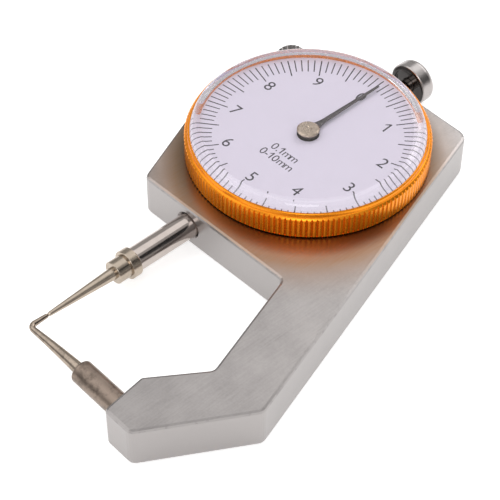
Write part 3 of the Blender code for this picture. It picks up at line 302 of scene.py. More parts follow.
def plain_finish(name, base, rough, metallic):
    """Fine even grain over one colour."""
    finish = Finish(name, Metallic=metallic)
    speck = finish.noise(1500.0, 2.0)
    colour = finish.blend(speck.between(0.3, 0.7), rgb(base, 0.95), rgb(base))
    return finish.vary(Base_Color=colour, Roughness=rough + speck * 0.05, Normal=finish.bump(speck, 0.002))


def dial_finish(colours):
    """Matt printed ground with a very faint mottle."""
    finish = Finish("dial_ground", Metallic=0.0)
    mottle = finish.noise(500.0, 4.0)
    colour = finish.blend(mottle.between(0.3, 0.75), rgb(colours.dial, 0.975), rgb(colours.dial))
    return finish.vary(Base_Color=colour, Roughness=0.5 + mottle * 0.1)


def knob_finish(colours):
    """Satin knob whose underside is smoother and painted dark as shade."""
    finish = Finish("knob_satin", Metallic=1.0)
    ring = finish.noise(1200.0, 3.0, finish.place((0.02, 1.0, 0.02)))
    cloud = finish.noise(400.0, 3.0)
    above = finish.part("Y").between(28.5, 28.6)
    outside = finish.radius(SPINDLE_X, SPINDLE_Z, "Y").between(3.8, 3.9)
    # Painted shade: the underside, which faces the body, is painted near black from the knob's colour.
    under = (1.0 - (above + outside)).between(0.0, 1.0)
    satin = finish.blend(cloud.between(0.3, 0.7), rgb(colours.knob, 0.92), rgb(colours.knob))
    colour = finish.blend(under, satin, rgb(colours.knob, 0.16))
    return finish.vary(Base_Color=colour, Roughness=0.24 + cloud * 0.08 - under * 0.16,
                       Normal=finish.bump(ring, 0.002))


def crystal_finish(colours):
    """Clear moulded plastic, faintly hazed round its shoulder, that lets light through to the dial."""
    finish = Finish("clear_cap_plastic", Base_Color=rgb(colours.crystal), Roughness=0.0, IOR=1.49,
                    Transmission_Weight=1.0)
    speck = finish.noise(900.0, 2.0)
    finish.vary(Roughness=speck.between(0.68, 0.8) * 0.02)
    shoulder = finish.radius(0.0, 0.0).between(18.6, 19.3) * finish.part("Z").between(12.6, 13.0)
    haze = shoulder * (0.12 + speck * 0.16)
    milk = finish.node("ShaderNodeBsdfDiffuse", {}, {"Color": rgb(colours.crystal_haze)})
    hazed = finish.node("ShaderNodeMixShader", {}, {0: haze, 1: finish.shader.outputs[0], 2: milk})
    shadow, bounce = (Level(finish, finish.node("ShaderNodeLightPath", {}, {}, name))
                      for name in ("Is Shadow Ray", "Is Diffuse Ray"))
    clear = finish.node("ShaderNodeBsdfTransparent", {}, {"Color": (0.97, 0.96, 0.98, 1.0)})
    return finish.show(finish.node("ShaderNodeMixShader", {}, {
        0: (shadow + bounce).between(0.0, 1.0), 1: hazed, 2: clear}))


# Shapes

def mesh_object(name, bm, smooth=SHARP_ANGLE):
    """Object of a finished bmesh, with its place in its mesh."""
    bmesh.ops.remove_doubles(bm, verts=bm.verts, dist=0.0005 * MM)
    bmesh.ops.recalc_face_normals(bm, faces=bm.faces)
    mesh = bpy.data.meshes.new(name)
    bm.to_mesh(mesh)
    bm.free()
    mesh.shade_smooth()
    mesh.set_sharp_from_angle(angle=math.radians(smooth))
    piece = bpy.data.objects.new(name, mesh)
    bpy.context.scene.collection.objects.link(piece)
    return piece


def settle(piece, material, body, slot, *nodes):
    """Give a piece its finish and its body, and the CAD nodes it stands for."""
    piece.data.materials.clear()
    piece.data.materials.append(material)
    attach(piece, body)
    if nodes:
        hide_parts(*nodes)


def spun(bm, profile, steps, place=(0.0, 0.0, 0.0), turn=None):
    """Turn a closed loop of (radius, height) points, in millimetres, about Z."""
    verts = [bm.verts.new((radius * MM, 0.0, height * MM)) for radius, height in profile]
    pairs = zip(verts, verts[1:] + verts[:1])
    edges = [bm.edges.new((a, b)) for a, b in pairs if a.co.x > 0.0 or b.co.x > 0.0]
    made = len(bm.verts) - len(verts)
    bmesh.ops.spin(bm, geom=verts + edges, cent=(0.0, 0.0, 0.0), axis=(0.0, 0.0, 1.0),
                   angle=2.0 * math.pi, steps=steps, use_merge=True)
    bm.verts.ensure_lookup_table()
    matrix = Matrix.Translation(Vector(place) * MM) @ (turn if turn else Matrix.Identity(4))
    bmesh.ops.transform(bm, matrix=matrix, verts=bm.verts[made:])


def guarded(profile):
    """Add a point close to both ends of each long side, so that the side is shaded straight."""
    points = []
    for index, corner in enumerate(profile):
        start, end = Vector(corner), Vector(profile[(index + 1) % len(profile)])
        points.append(corner)
        if (end - start).length > LONG_SIDE and max(start.x, end.x) > 0.0:
            step = (end - start).normalized() * GUARD
            points += [tuple(start + step), tuple(end - step)]
    return points


def turned_piece(name, profile, steps, place=(0.0, 0.0, 0.0), turn=None, smooth=SHARP_ANGLE):
    """Object turned from a profile about Z, then set in its place."""
    bm = bmesh.new()
    spun(bm, guarded(profile), steps, place, turn)
    return mesh_object(name, bm, smooth)


def eased(profile, radii, steps=3):
    """Round each corner of a profile by a small arc; radii follow the corners."""
    points = []
    count = len(profile)
    for index, (corner, radius) in enumerate(zip(profile, radii)):
        if radius <= 0.0:
            points.append(corner)
            continue
        spot = Vector(corner)
        back = (Vector(profile[index - 1]) - spot).normalized()
        ahead = (Vector(profile[(index + 1) % count]) - spot).normalized()
        half = back.angle(ahead) / 2.0
        centre = spot + (back + ahead).normalized() * radius / math.sin(half)
        start = spot + back * radius / math.tan(half) - centre
        end = spot + ahead * radius / math.tan(half) - centre
        first = math.atan2(start.y, start.x)
        swing = math.atan2(start.x * end.y - start.y * end.x, start.dot(end))
        for step in range(steps + 1):
            angle = first + swing * step / steps
            points.append((centre.x + radius * math.cos(angle), centre.y + radius * math.sin(angle)))
    return points


def arc_points(x, y, wide, high, start, end, steps):
    """Arc of a circle or an oval from one angle to another, in degrees."""
    angles = [math.radians(start + (end - start) * step / steps) for step in range(steps + 1)]
    return [(x + wide * math.cos(angle), y + high * math.sin(angle)) for angle in angles]


def plate(bm, outline, low, high, edge=0.0):
    """Extrude an outline of (x, y) points between two heights, with its top edge rounded, in millimetres."""
    floor = bm.faces.new([bm.verts.new((x * MM, y * MM, low * MM)) for x, y in outline])
    raised = bmesh.ops.extrude_face_region(bm, geom=[floor], use_keep_orig=True)
    roof = [item for item in raised["geom"] if isinstance(item, bmesh.types.BMVert)]
    bmesh.ops.translate(bm, verts=roof, vec=(0.0, 0.0, (high - low) * MM))
    if edge > 0.0:
        top = set(roof)
        rim = {e for v in roof for e in v.link_edges if e.verts[0] in top and e.verts[1] in top}
        bmesh.ops.bevel(bm, geom=list(rim), offset=edge * MM, segments=2,
                        affect="EDGES", profile=0.5, material=-1)


def swept(bm, path, radii, sides, level):
    """Round bar along a path at one height: a ring is extruded and set square to each point."""
    ring = bmesh.ops.create_circle(bm, segments=sides, radius=1.0, cap_ends=True)["verts"]
    shape = [v.co.copy() for v in ring]
    spots = [Vector((x, y, level)) for x, y in path]
    up = Vector((0.0, 0.0, 1.0))
    loop = ring
    for index, (spot, radius) in enumerate(zip(spots, radii)):
        if index:
            edges = [e for e in bm.edges if e.verts[0] in loop and e.verts[1] in loop]
            made = bmesh.ops.extrude_edge_only(bm, edges=edges)["geom"]
            fresh = [item for item in made if isinstance(item, bmesh.types.BMVert)]
            fresh.sort(key=lambda v: min(range(len(loop)), key=lambda i: (loop[i].co - v.co).length))
            loop = fresh
        before = spots[max(index - 1, 0)]
        after = spots[min(index + 1, len(spots) - 1)]
        side = (after - before).normalized().cross(up)
        for vert, local in zip(loop, shape):
            vert.co = (spot + (side * local.x + up * local.y) * radius) * MM
    bm.faces.new(loop)


def cut_away(piece, tool):
    """Take the tool's solid out of a piece by an exact Boolean that is applied."""
    modifier = piece.modifiers.new("cut", "BOOLEAN")
    modifier.operation = "DIFFERENCE"
    modifier.solver = "EXACT"
    modifier.object = tool
    bpy.context.view_layer.update()
    done = piece.evaluated_get(bpy.context.evaluated_depsgraph_get())
    mesh = bpy.data.meshes.new_from_object(done)
    mesh.shade_smooth()
    mesh.set_sharp_from_angle(angle=math.radians(SHARP_ANGLE))
    piece.modifiers.clear()
    piece.data = mesh
    bpy.data.objects.remove(tool)


def mesh_corners(mesh):
    """Lowest and highest corner of a mesh."""
    spots = [v.co for v in mesh.vertices]
    return [Vector([pick(s[axis] for s in spots) for axis in range(3)]) for pick in (min, max)]


def node_span(name):
    """Lowest and highest Z of a CAD node, in millimetres."""
    return [corner.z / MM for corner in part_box(name)]


# Bezel and clear cap

# Share of a tooth's pitch and of its depth at each of its points, from one land's middle to the next
TOOTH = ((0.0, 0.0), (0.20, 0.0), (0.29, 0.08), (0.42, 0.72), (0.5, 1.0), (0.58, 0.72), (0.71, 0.08),
         (0.80, 0.0))

# Share of the clear cap's flat radius at each ring of its slightly domed top
DOME_SHARES = (0.0, 0.2, 0.45, 0.7, 0.9)


def make_bezel(sizes, colours):
    """Ring with a straight knurl, the clear cap's seat and a groove for the wire ring."""
    foot, top = node_span("bezel")
    outer = sizes.bezel_radius / MM
    shoulder = top - 0.70
    ledge = top - 2.40
    bore, groove, seat = 17.86, 18.16, 20.02
    groove_low, groove_top = 8.70, 9.40
    wall = [
        (bore, foot), (outer - 0.15, foot), (outer, foot + 0.15), (outer, shoulder - 0.42),
        (outer - 0.06, shoulder - 0.32), (20.66, shoulder - 0.04), (20.58, shoulder),
        (20.50, shoulder + 0.02), (20.46, shoulder + 0.10), (20.44, top - 0.22), (20.40, top - 0.08),
        (20.30, top), (20.06, top), (seat, top - 0.04), (seat, ledge), (bore, ledge),
        (bore, groove_top), (groove, groove_top), (groove, groove_low), (bore, groove_low),
    ]
    bm = bmesh.new()
    count = len(TOOTH)
    spun(bm, wall, sizes.teeth * count)
    for vert in bm.verts:
        reach = vert.co.to_2d().length / MM
        step = round(math.atan2(vert.co.y, vert.co.x) * sizes.teeth * count / (2.0 * math.pi))
        share, depth = TOOTH[step % count]
        angle = (step // count + share) * 2.0 * math.pi / sizes.teeth
        sink = sizes.tooth_depth / MM * depth
        if reach > outer - 0.01:
            reach -= sink
            vert.co.z += (sink if vert.co.z / MM > foot + 1.0 else -min(sink, 0.14)) * MM
        elif reach > outer - 0.10:
            reach -= max(sink - 0.06, 0.0)
            vert.co.z += max(sink - 0.06, 0.0) * MM
        vert.co.x = reach * math.cos(angle) * MM
        vert.co.y = reach * math.sin(angle) * MM
    settle(mesh_object("bezel_ring", bm, 20.0), anodised_finish(colours), "bezel_group",
           "orange_anodised", "bezel")


def make_crystal(sizes, colours):
    """Clear cap: a wall, a rounded shoulder and a slightly domed roof."""
    top = node_span("crystal")[1]
    foot = node_span("dial_plate")[1] - 0.005
    outer = 20.0
    rise = 0.1
    wide, high = sizes.crystal_bend / MM, sizes.crystal_shoulder / MM
    inner, flat = outer - sizes.crystal_wall / MM, outer - wide
    under = top - sizes.crystal_roof / MM
    profile = [(inner, foot), (outer - 0.05, foot), (outer, foot + 0.05)]
    profile += arc_points(flat, top - rise - high, wide, high, 0.0, 90.0, 24)
    profile += [(flat * share, top - rise * share * share) for share in reversed(DOME_SHARES)]
    wide, high = sizes.crystal_inner_bend / MM, sizes.crystal_inner_shoulder / MM
    flat = inner - wide
    profile += [(flat * share, under - rise * share * share) for share in DOME_SHARES]
    profile += arc_points(flat, under - rise - high, wide, high, 90.0, 0.0, 18)
    settle(turned_piece("crystal_cap", profile, 192, smooth=60.0), crystal_finish(colours),
           "bezel_group", "crystal_clear", "crystal")


# Dial

def make_dial(sizes, colours):
    """Printed ground, with 80 short and 20 long marks."""
    low, top = node_span("dial_plate")
    bore, rim = 1.9, 20.0
    outline = eased([(bore, low), (rim, low), (rim, top), (bore, top)], (0.0, 0.0, 0.05, 0.05))
    settle(turned_piece("dial_face", outline, 160), dial_finish(colours), "bezel_group", "dial_face",
           "dial_plate")
    ink = plain_finish("dial_ink", colours.ink, 0.45, 0.0)
    outer = sizes.tick_outer / MM
    for name, inner, width, count, skip in (
            ("minor_ticks", sizes.minor_inner, sizes.minor_width, 100, 5),
            ("major_ticks", sizes.major_inner, sizes.major_width, 20, 0)):
        inner, half = inner / MM, width / MM / 2.0
        bm = bmesh.new()
        for index in range(count):
            if skip and index % skip == 0:
                continue
            made = len(bm.verts)
            plate(bm, [(-half, inner), (half, inner), (half, outer), (-half, outer)], top, top + INK_HEIGHT)
            bm.verts.ensure_lookup_table()
            turn = PRINT_SHIFT @ Matrix.Rotation(sizes.dial_turn - 2.0 * math.pi * index / count, 4, "Z")
            bmesh.ops.transform(bm, matrix=turn, verts=bm.verts[made:])
        settle(mesh_object(name, bm), ink, "bezel_group", "dial_face")


# Middle of each number but the one, and the foot of the one's stem, in millimetres on the dial
NUMBERS = {"0": (-0.07, 13.43), "2": (13.58, 3.77), "3": (13.44, -4.39), "4": (7.89, -11.05),
           "5": (0.36, -13.91), "6": (-8.29, -10.86), "7": (-13.0, -4.22), "8": (-13.21, 4.36),
           "9": (-8.02, 11.05)}
ONE_FOOT = (8.40, 9.55)

# Each unit line: its baseline, the place of its one, and its other characters with their middles
UNIT_LINES = ((-6.72, -0.28, (("0", -1.98), (".", -1.08), ("m", 0.97), ("m", 2.44))),
              (-8.82, -0.80, (("0", -2.64), ("-", -1.75), ("0", 0.14), ("m", 1.60), ("m", 3.14))))


def print_character(bm, text, size, spot, level, upright=False):
    """Add one printed character: its middle, or its middle and baseline, goes on the spot."""
    curve = bpy.data.curves.new("character", "FONT")
    curve.body = text
    curve.size = size * MM
    curve.extrude = INK_HEIGHT / 2.0 * MM
    curve.offset = -0.003 * size * MM
    curve.resolution_u = 6
    made = bpy.data.objects.new("character", curve)
    bpy.context.scene.collection.objects.link(made)
    bpy.context.view_layer.update()
    mesh = bpy.data.meshes.new_from_object(made)
    bpy.data.objects.remove(made)
    low, high = mesh_corners(mesh)
    middle = (low + high) / 2.0
    drop = 0.0 if upright else middle.y
    mesh.transform(Matrix.Translation((spot[0] * MM - middle.x, spot[1] * MM - drop,
                                       (level + INK_HEIGHT / 2.0) * MM)))
    bm.from_mesh(mesh)
    bpy.data.meshes.remove(mesh)


def print_one(bm, x, y, height, stroke, level):
    """Add a figure one with its stem's foot on the spot and a short flag, a hair lower than the stem."""
    half = stroke / 2.0
    left = x - half
    flag = height * 0.27
    tip = left - flag
    top = y + height
    plate(bm, [(left, y), (x + half, y), (x + half, top), (left, top)], level, level + INK_HEIGHT)
    plate(bm, [(left, top), (left, top - stroke * 1.3), (tip, top - flag - stroke * 0.9), (tip, top - flag)],
          level, level + INK_HEIGHT - 0.001)


def make_lettering(sizes, colours):
    """The dial's numbers and its two unit lines."""
    top = node_span("dial_plate")[1]
    number, unit = sizes.digit_height / MM, sizes.unit_height / MM
    bm = bmesh.new()
    for text, spot in NUMBERS.items():
        print_character(bm, text, number, spot, top)
    print_one(bm, *ONE_FOOT, number * 0.70, number * 0.09, top)
    for line, one, characters in UNIT_LINES:
        for text, x in characters:
            print_character(bm, text, unit, (x, line), top, True)
        print_one(bm, one, line, unit * 0.682, unit * 0.095, top)
    bmesh.ops.transform(bm, matrix=PRINT_SHIFT @ Matrix.Rotation(sizes.dial_turn, 4, "Z"), verts=bm.verts)
    ink = plain_finish("lettering_ink", colours.ink, 0.45, 0.0)
    settle(mesh_object("lettering", bm), ink, "bezel_group", "dial_face")


# Hand

def make_hand(colours):
    """Tapered hand with its round eye, the dark drum under it and the nickel cap on top."""
    eye, neck = 1.7, 0.95
    side = []
    for step in range(1, 17):
        share = step / 16.0
        width = 0.82 + 1.08 * (1.0 - share) ** 3
        side.append((width / 2.0, 1.42 + 3.78 * share))
    side += [(0.20, 16.86), (0.12, 16.9)]
    lean = math.degrees(math.asin(neck / eye))
    outline = arc_points(0.0, 0.0, eye, eye, 90.0 + lean, 450.0 - lean, 40)
    outline += side + [(-x, y) for x, y in reversed(side)]
    bm = bmesh.new()
    plate(bm, outline, *node_span("pointer"), 0.04)
    blade = mesh_object("hand_blade", bm)
    settle(blade, plain_finish("hand_black", colours.hand, 0.38, 0.6), "hand", "pointer_dark", "pointer")

    bore, low, top = 0.85, *node_span("pointer_hub")
    drum = eased([(bore, low), (1.63, low), (1.63, top - 0.3), (1.0, top - 0.3), (1.0, top), (bore, top)],
                 (0.0, 0.06, 0.06, 0.0, 0.0, 0.0))
    settle(turned_piece("hub_drum", drum, 64), turned_finish("drum_dark", colours.drum, 0.30, "Z"),
           "hand", "hub_nickel", "pointer_hub")

    low, top = node_span("hub_cap")
    cap = eased([(0.0, low + 0.2), (bore, low + 0.2), (bore, low), (1.95, low), (1.95, top - 0.2),
                 (1.66, top), (0.56, top), (0.42, top - 0.16), (0.0, top - 0.24)],
                (0.0, 0.0, 0.0, 0.03, 0.05, 0.05, 0.03, 0.04, 0.0))
    settle(turned_piece("hub_button", cap, 96), turned_finish("hub_turned", colours.hub, 0.24, "Z"),
           "hand", "hub_nickel", "hub_cap")


# Spindle, knob and spring

def rack_space():
    """Outline of the space in front of the rack, in millimetres from the pinion's axis."""
    tip, root, pitch = -1.4125, -1.8402, 0.625
    wide, narrow = 0.2268, 0.0711
    open_side, start, end = 2.15, -12.5905, 2.5905
    outline = [(open_side, start), (open_side, end), (tip, end)]
    for tooth in range(3, -20, -1):
        middle = tooth * pitch
        outline += [(root, middle + wide), (tip, middle + narrow), (tip, middle - narrow),
                    (root, middle - wide)]
    return outline + [(tip, start)]


def make_spindle(colours):
    """Ground rod with its rack, and the turned needle point in its end."""
    place = (SPINDLE_X, 0.0, SPINDLE_Z)
    socket, rod, stem = 1.01, 2.15, 1.3
    foot, shoulder, end = -36.3, 5.5, 29.6
    shank = eased([(0.0, -32.74), (socket, -32.74), (socket, foot), (rod, foot), (rod, -13.0), (rod, 3.0),
                   (rod, shoulder), (stem, shoulder), (stem, end), (0.0, end)],
                  (0.0, 0.0, 0.0, 0.15, 0.0, 0.0, 0.15, 0.0, 0.1, 0.0))
    spindle = turned_piece("spindle_rod", shank, 128, place, ALONG_Y)
    bm = bmesh.new()
    plate(bm, rack_space(), SPINDLE_Z - 3.0, SPINDLE_Z + 3.0)
    cut_away(spindle, mesh_object("rack_tool", bm))
    pin = 0.51
    bm = bmesh.new()
    spun(bm, [(0.0, 5.35), (pin, 5.35), (pin, 7.5), (0.0, 7.5)], 32, (SPINDLE_X, -4.0, 0.0))
    cut_away(spindle, mesh_object("pin_tool", bm))
    chrome = turned_finish("ground_chrome", colours.chrome, 0.12, "Y", 700.0, 0.0006, 0.03, 0.06)
    settle(spindle, chrome, "plunger", "polished_spindle", "spindle")

    thread, collar, neck = 1.0, 2.58, 2.03
    point = eased([(0.0, -32.8), (thread, -32.8), (thread, -36.4), (collar, -36.4), (collar, -38.1),
                   (neck, -38.1), (neck, -40.6), (1.08, -40.6), (0.40, -53.6), (0.22, -53.96), (0.0, -53.96)],
                  (0.0, 0.0, 0.0, 0.12, 0.12, 0.0, 0.14, 0.0, 0.2, 0.1, 0.0))
    nickel = turned_finish("turned_nickel", colours.nickel, 0.18, "Y", 2500.0, 0.004, 0.08, 0.2)
    settle(turned_piece("needle_point", point, 72, place, ALONG_Y), nickel, "plunger", "nickel_plate",
           "contact_point")


def make_lift_knob(colours):
    """Round knob with a domed edge, bored for the stem."""
    bore, recess, rim = 1.4, 3.1, 4.05
    low, top = 28.0, 31.2
    knob = eased([(0.0, 29.7), (bore, 29.7), (bore, 28.4), (recess, 28.4), (recess, low), (rim, low),
                  (rim, top), (0.0, top)], (0.0, 0.0, 0.0, 0.15, 0.08, 0.45, 1.1, 0.0), 6)
    settle(turned_piece("lift_button", knob, 96, (SPINDLE_X, 0.0, SPINDLE_Z), ALONG_Y),
           knob_finish(colours), "plunger", "satin_chrome", "lift_knob")


def make_spring():
    """Coil copied from the CAD return spring, which in the gauge shortens against the upper bush as the
    spindle rises.
    """
    bm = bmesh.new()
    bm.from_mesh(frame["nodes"]["return_spring"].data)
    coil = mesh_object("return_coil", bm, 60.0)
    settle(coil, plain_finish("coil_steel", (0.5, 0.5, 0.52), 0.25, 1.0), "housing", "spring_wire",
           "return_spring")
    low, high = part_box("return_spring")
    travel = next(joint["range_m"][1] for joint in frame["record"]["behaviour"]["joints"]
                  if joint["name"] == "spindle_slide")
    1.0 - travel / (high.y - low.y)
    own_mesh(coil)


# Anvil, lock screw and frame

def make_anvil():
    """Round post in the frame's foot, and the tapered needle that bends round to meet the point."""
    pin, post = 1.15, 2.0
    sleeve = eased([(0.0, -6.1), (pin, -6.1), (pin, -10.2), (post, -10.2), (post, 4.6), (0.0, 4.6)],
                   (0.0, 0.0, 0.1, 0.35, 0.0, 0.0), 6)
    stained = turned_finish("post_nickel", (0.285, 0.225, 0.185), 0.28, "X", 1500.0, 0.014, 0.16, 0.6)
    settle(turned_piece("anvil_sleeve", sleeve, 72, (19.6, ANVIL_Y, SPINDLE_Z), ALONG_X), stained,
           "housing", "nickel_plate", "anvil_post")

    root, thin, bend, sag = 1.05, 0.52, 0.9, 0.3
    rise = ANVIL_Y - sag + bend
    path = [(13.4, ANVIL_Y)]
    radii = [root]
    for step in range(25):
        share = step / 24.0
        path.append((9.4 - 11.5 * share, ANVIL_Y - sag * share * share))
        radii.append(root - (root - thin) * share)
    corner = arc_points(SPINDLE_X + bend, rise, bend, bend, -90.0, -180.0, 14)[1:]
    path += corner
    radii += [thin] * len(corner)
    for step in range(1, 9):
        share = step / 8.0
        path.append((SPINDLE_X, rise + 2.45 * share))
        radii.append(thin - 0.14 * share)
    path += [(SPINDLE_X, -54.04), (SPINDLE_X, -54.0)]
    radii += [0.30, 0.12]
    bm = bmesh.new()
    swept(bm, path, radii, 32, SPINDLE_Z)
    smooth = turned_finish("needle_nickel", (0.39, 0.322, 0.262), 0.17, "X", 1200.0, 0.003, 0.06, 0.5)
    settle(mesh_object("anvil_wire", bm), smooth, "housing", "nickel_plate", "anvil_needle")


def make_lock_screw(colours):
    """Thumbscrew with a knurled head, in the frame's corner and aimed at the spindle."""
    nose, shank, neck, head = 0.6, 1.2, 1.9, 3.0
    knurl, teeth = 0.2, 24
    profile = eased([(0.0, -16.83), (nose, -16.83), (nose, -15.53), (shank, -15.53), (shank, 0.1),
                     (neck, 0.1), (neck, 2.2), (head - 0.3, 2.2), (head, 2.5), (head, 4.9),
                     (head - 0.3, 5.2), (0.0, 5.2)],
                    (0.0, 0.1, 0.0, 0.2, 0.0, 0.1, 0.0, 0.05, 0.0, 0.0, 0.05, 0.0))
    bm = bmesh.new()
    spun(bm, profile, teeth * 6)
    for vert in bm.verts:
        if vert.co.to_2d().length / MM > head - 0.01:
            phase = math.atan2(vert.co.y, vert.co.x) * teeth / (2.0 * math.pi)
            keep = 1.0 - knurl * abs(phase - round(phase)) * 2.0 / head
            vert.co.x *= keep
            vert.co.y *= keep
    along = Vector((-LOCK_OUT.y, LOCK_OUT.x, 0.0))
    turn = Matrix((along, LOCK_OUT.cross(along), LOCK_OUT)).transposed().to_4x4()
    bmesh.ops.transform(bm, matrix=Matrix.Translation(LOCK_PLACE * MM) @ turn, verts=bm.verts)
    # Painted shade: the screw takes the knob's colour at half its level.
    finish = plain_finish("lock_chrome_shaded", [channel * 0.5 for channel in colours.knob], 0.22, 1.0)
    settle(mesh_object("lock_thumbscrew", bm), finish, "lock", "satin_chrome", "lock_screw")


def dress_frame(colours):
    """Finishes of the CAD nodes that keep their own shape."""
    brass = turned_finish("bearing_brass", (0.72, 0.55, 0.26), 0.28, "Z")
    screw = plain_finish("fastener_steel", (0.58, 0.58, 0.58), 0.25, 1.0)
    chosen = {
        "frame_body": zinc_finish(colours),
        "rear_cover": turned_finish("cover_sheet", (0.55, 0.55, 0.56), 0.32, "Z", 500.0),
        "bezel_spring": plain_finish("wire_steel", (0.5, 0.5, 0.52), 0.25, 1.0),
        "movement_plate": brass, "front_bearing": brass, "rear_bearing": brass, "pinion": brass,
        "upper_bush": brass, "lower_bush": screw, "guide_pin": screw,
        "bridge_screw_1": screw, "bridge_screw_2": screw, "cover_screw_1": screw,
        "cover_screw_2": screw, "cover_screw_3": screw, "cover_screw_4": screw,
    }
    for name, material in chosen.items():
        mesh = frame["nodes"][name].data
        mesh.materials.clear()
        mesh.materials.append(material)


# Studio

# Place of the camera in millimetres, and the ways that are right, down and ahead in its picture
CAMERA_PLACE = Vector((149.637, -151.893, 208.868))
CAMERA_RIGHT = Vector((0.6753841, 0.73744387, 0.00573253))
CAMERA_DOWN = Vector((0.53926064, -0.48854683, -0.68594457))
CAMERA_AHEAD = Vector((-0.50304501, 0.46636738, -0.72763121))
FOCAL_PIXELS = 1712.7787
PICTURE_PIXELS = 500.0
SENSOR_WIDTH = 36.0

# Name, place, width, height and power of each lamp, in metres and watts
LAMPS = (
    ("key_light", (-0.45, -0.40, 0.70), 0.8, 0.6, 1.5),
    ("top_light", (-0.15, 0.15, 0.77), 0.8, 0.8, 1.7),
    ("front_light", (0.40, -0.45, 0.62), 0.35, 0.35, 1.4),
    ("low_light", (0.06, -0.75, 0.30), 0.4, 0.2, 0.2),
    ("back_light", (-0.08, 0.74, 0.58), 0.8, 0.3, 1.7),
)
CARD_PLACE = (0.43, 0.32, 0.30)
CARD_WIDTH = 0.28
CARD_HEIGHT = 0.44
AIM = (0.0, -0.02, 0.01)


def facing(place):
    """Turn of a lamp or a card that stands at a place and faces the gauge."""
    return (Vector(place) - Vector(AIM)).to_track_quat("Z", "Y")


def make_camera():
    """Camera at the photograph's place, with its focal length."""
    data = bpy.data.cameras.new("studio_camera")
    data.sensor_width = SENSOR_WIDTH
    data.lens = FOCAL_PIXELS * SENSOR_WIDTH / PICTURE_PIXELS
    data.clip_start = 0.01
    data.clip_end = 20.0
    camera = bpy.data.objects.new("studio_camera", data)
    turn = Matrix((CAMERA_RIGHT, -CAMERA_DOWN, -CAMERA_AHEAD)).transposed().to_4x4()
    camera.matrix_world = Matrix.Translation(CAMERA_PLACE * MM) @ turn
    bpy.context.scene.collection.objects.link(camera)
    bpy.context.scene.camera = camera


def make_lamp(name, place, width, height, power):
    """Rectangular soft lamp."""
    data = bpy.data.lights.new(name, "AREA")
    data.shape = "RECTANGLE"
    data.size = width
    data.size_y = height
    data.energy = power
    lamp = bpy.data.objects.new(name, data)
    lamp.location = place
    lamp.rotation_euler = facing(place).to_euler()
    bpy.context.scene.collection.objects.link(lamp)


def make_card():
    """Dark card that only shows in reflections."""
    bm = bmesh.new()
    bmesh.ops.create_grid(bm, x_segments=1, y_segments=1, size=0.5)
    size = Matrix.Diagonal((CARD_WIDTH, CARD_HEIGHT, 1.0, 1.0))
    matrix = Matrix.Translation(CARD_PLACE) @ facing(CARD_PLACE).to_matrix().to_4x4() @ size
    bmesh.ops.transform(bm, matrix=matrix, verts=bm.verts)
    card = mesh_object("dark_card", bm)
    black = Finish("card_black", Base_Color=(0.02, 0.02, 0.022, 1.0), Roughness=1.0)
    card.data.materials.append(black.material)
    card.visible_camera = False
    card.visible_diffuse = False
    card.visible_shadow = False
    card.visible_transmission = False


def make_floor(sizes):
    """Pale floor that camera, glossy and transmitted rays see as white."""
    bm = bmesh.new()
    bmesh.ops.create_grid(bm, x_segments=4, y_segments=4, size=4.0)
    floor = mesh_object("studio_floor", bm)
    finish = Finish("floor_white", Base_Color=(0.9, 0.9, 0.9, 1.0), Roughness=0.9)
    seen, glossy, sent = (Level(finish, finish.node("ShaderNodeLightPath", {}, {}, name))
                          for name in ("Is Camera Ray", "Is Glossy Ray", "Is Transmission Ray"))
    glow = finish.node("ShaderNodeEmission", {}, {
        "Color": (1.0, 1.0, 1.0, 1.0), "Strength": sizes.floor_glow})
    lit = finish.shader.outputs[0]
    both = finish.node("ShaderNodeAddShader", {}, {0: lit, 1: glow})
    share = (seen + glossy + sent).between(0.0, 1.0)
    floor.data.materials.append(
        finish.show(finish.node("ShaderNodeMixShader", {}, {0: share, 1: lit, 2: both})))


def make_world(sizes):
    """Even light, with plain white behind the gauge."""
    world = bpy.data.worlds.new("studio_world")
    bpy.context.scene.world = world
    world.use_nodes = True
    tree = world.node_tree
    shown = tree.nodes.new("ShaderNodeBackground")
    shown.inputs["Color"].default_value = (1.0, 1.0, 1.0, 1.0)
    shown.inputs["Strength"].default_value = 1.0
    lit = tree.nodes["Background"]
    lit.inputs["Color"].default_value = (1.0, 0.99, 0.98, 1.0)
    lit.inputs["Strength"].default_value = sizes.world_level
    path = tree.nodes.new("ShaderNodeLightPath")
    mix = tree.nodes.new("ShaderNodeMixShader")
    tree.links.new(path.outputs["Is Camera Ray"], mix.inputs[0])
    tree.links.new(lit.outputs[0], mix.inputs[1])
    tree.links.new(shown.outputs[0], mix.inputs[2])
    tree.links.new(mix.outputs[0], tree.nodes["World Output"].inputs["Surface"])


def make_stage(sizes):
    """Camera, floor, world, lamps and card."""
    make_camera()
    make_floor(sizes)
    make_world(sizes)
    for lamp in LAMPS:
        make_lamp(*lamp)
    make_card()
    bpy.context.scene.view_settings.view_transform = "Standard"


# Settings, operators and panel

def length(name, description, default):
    """Setting for a length in metres."""
    return bpy.props.FloatProperty(name=name, description=description, default=default, unit="LENGTH",
                                   precision=6)


def colour(name, description, default):
    """Setting for a linear colour."""
    return bpy.props.FloatVectorProperty(name=name, description=description, default=default,
                                         subtype="COLOR", min=0.0, max=1.0)


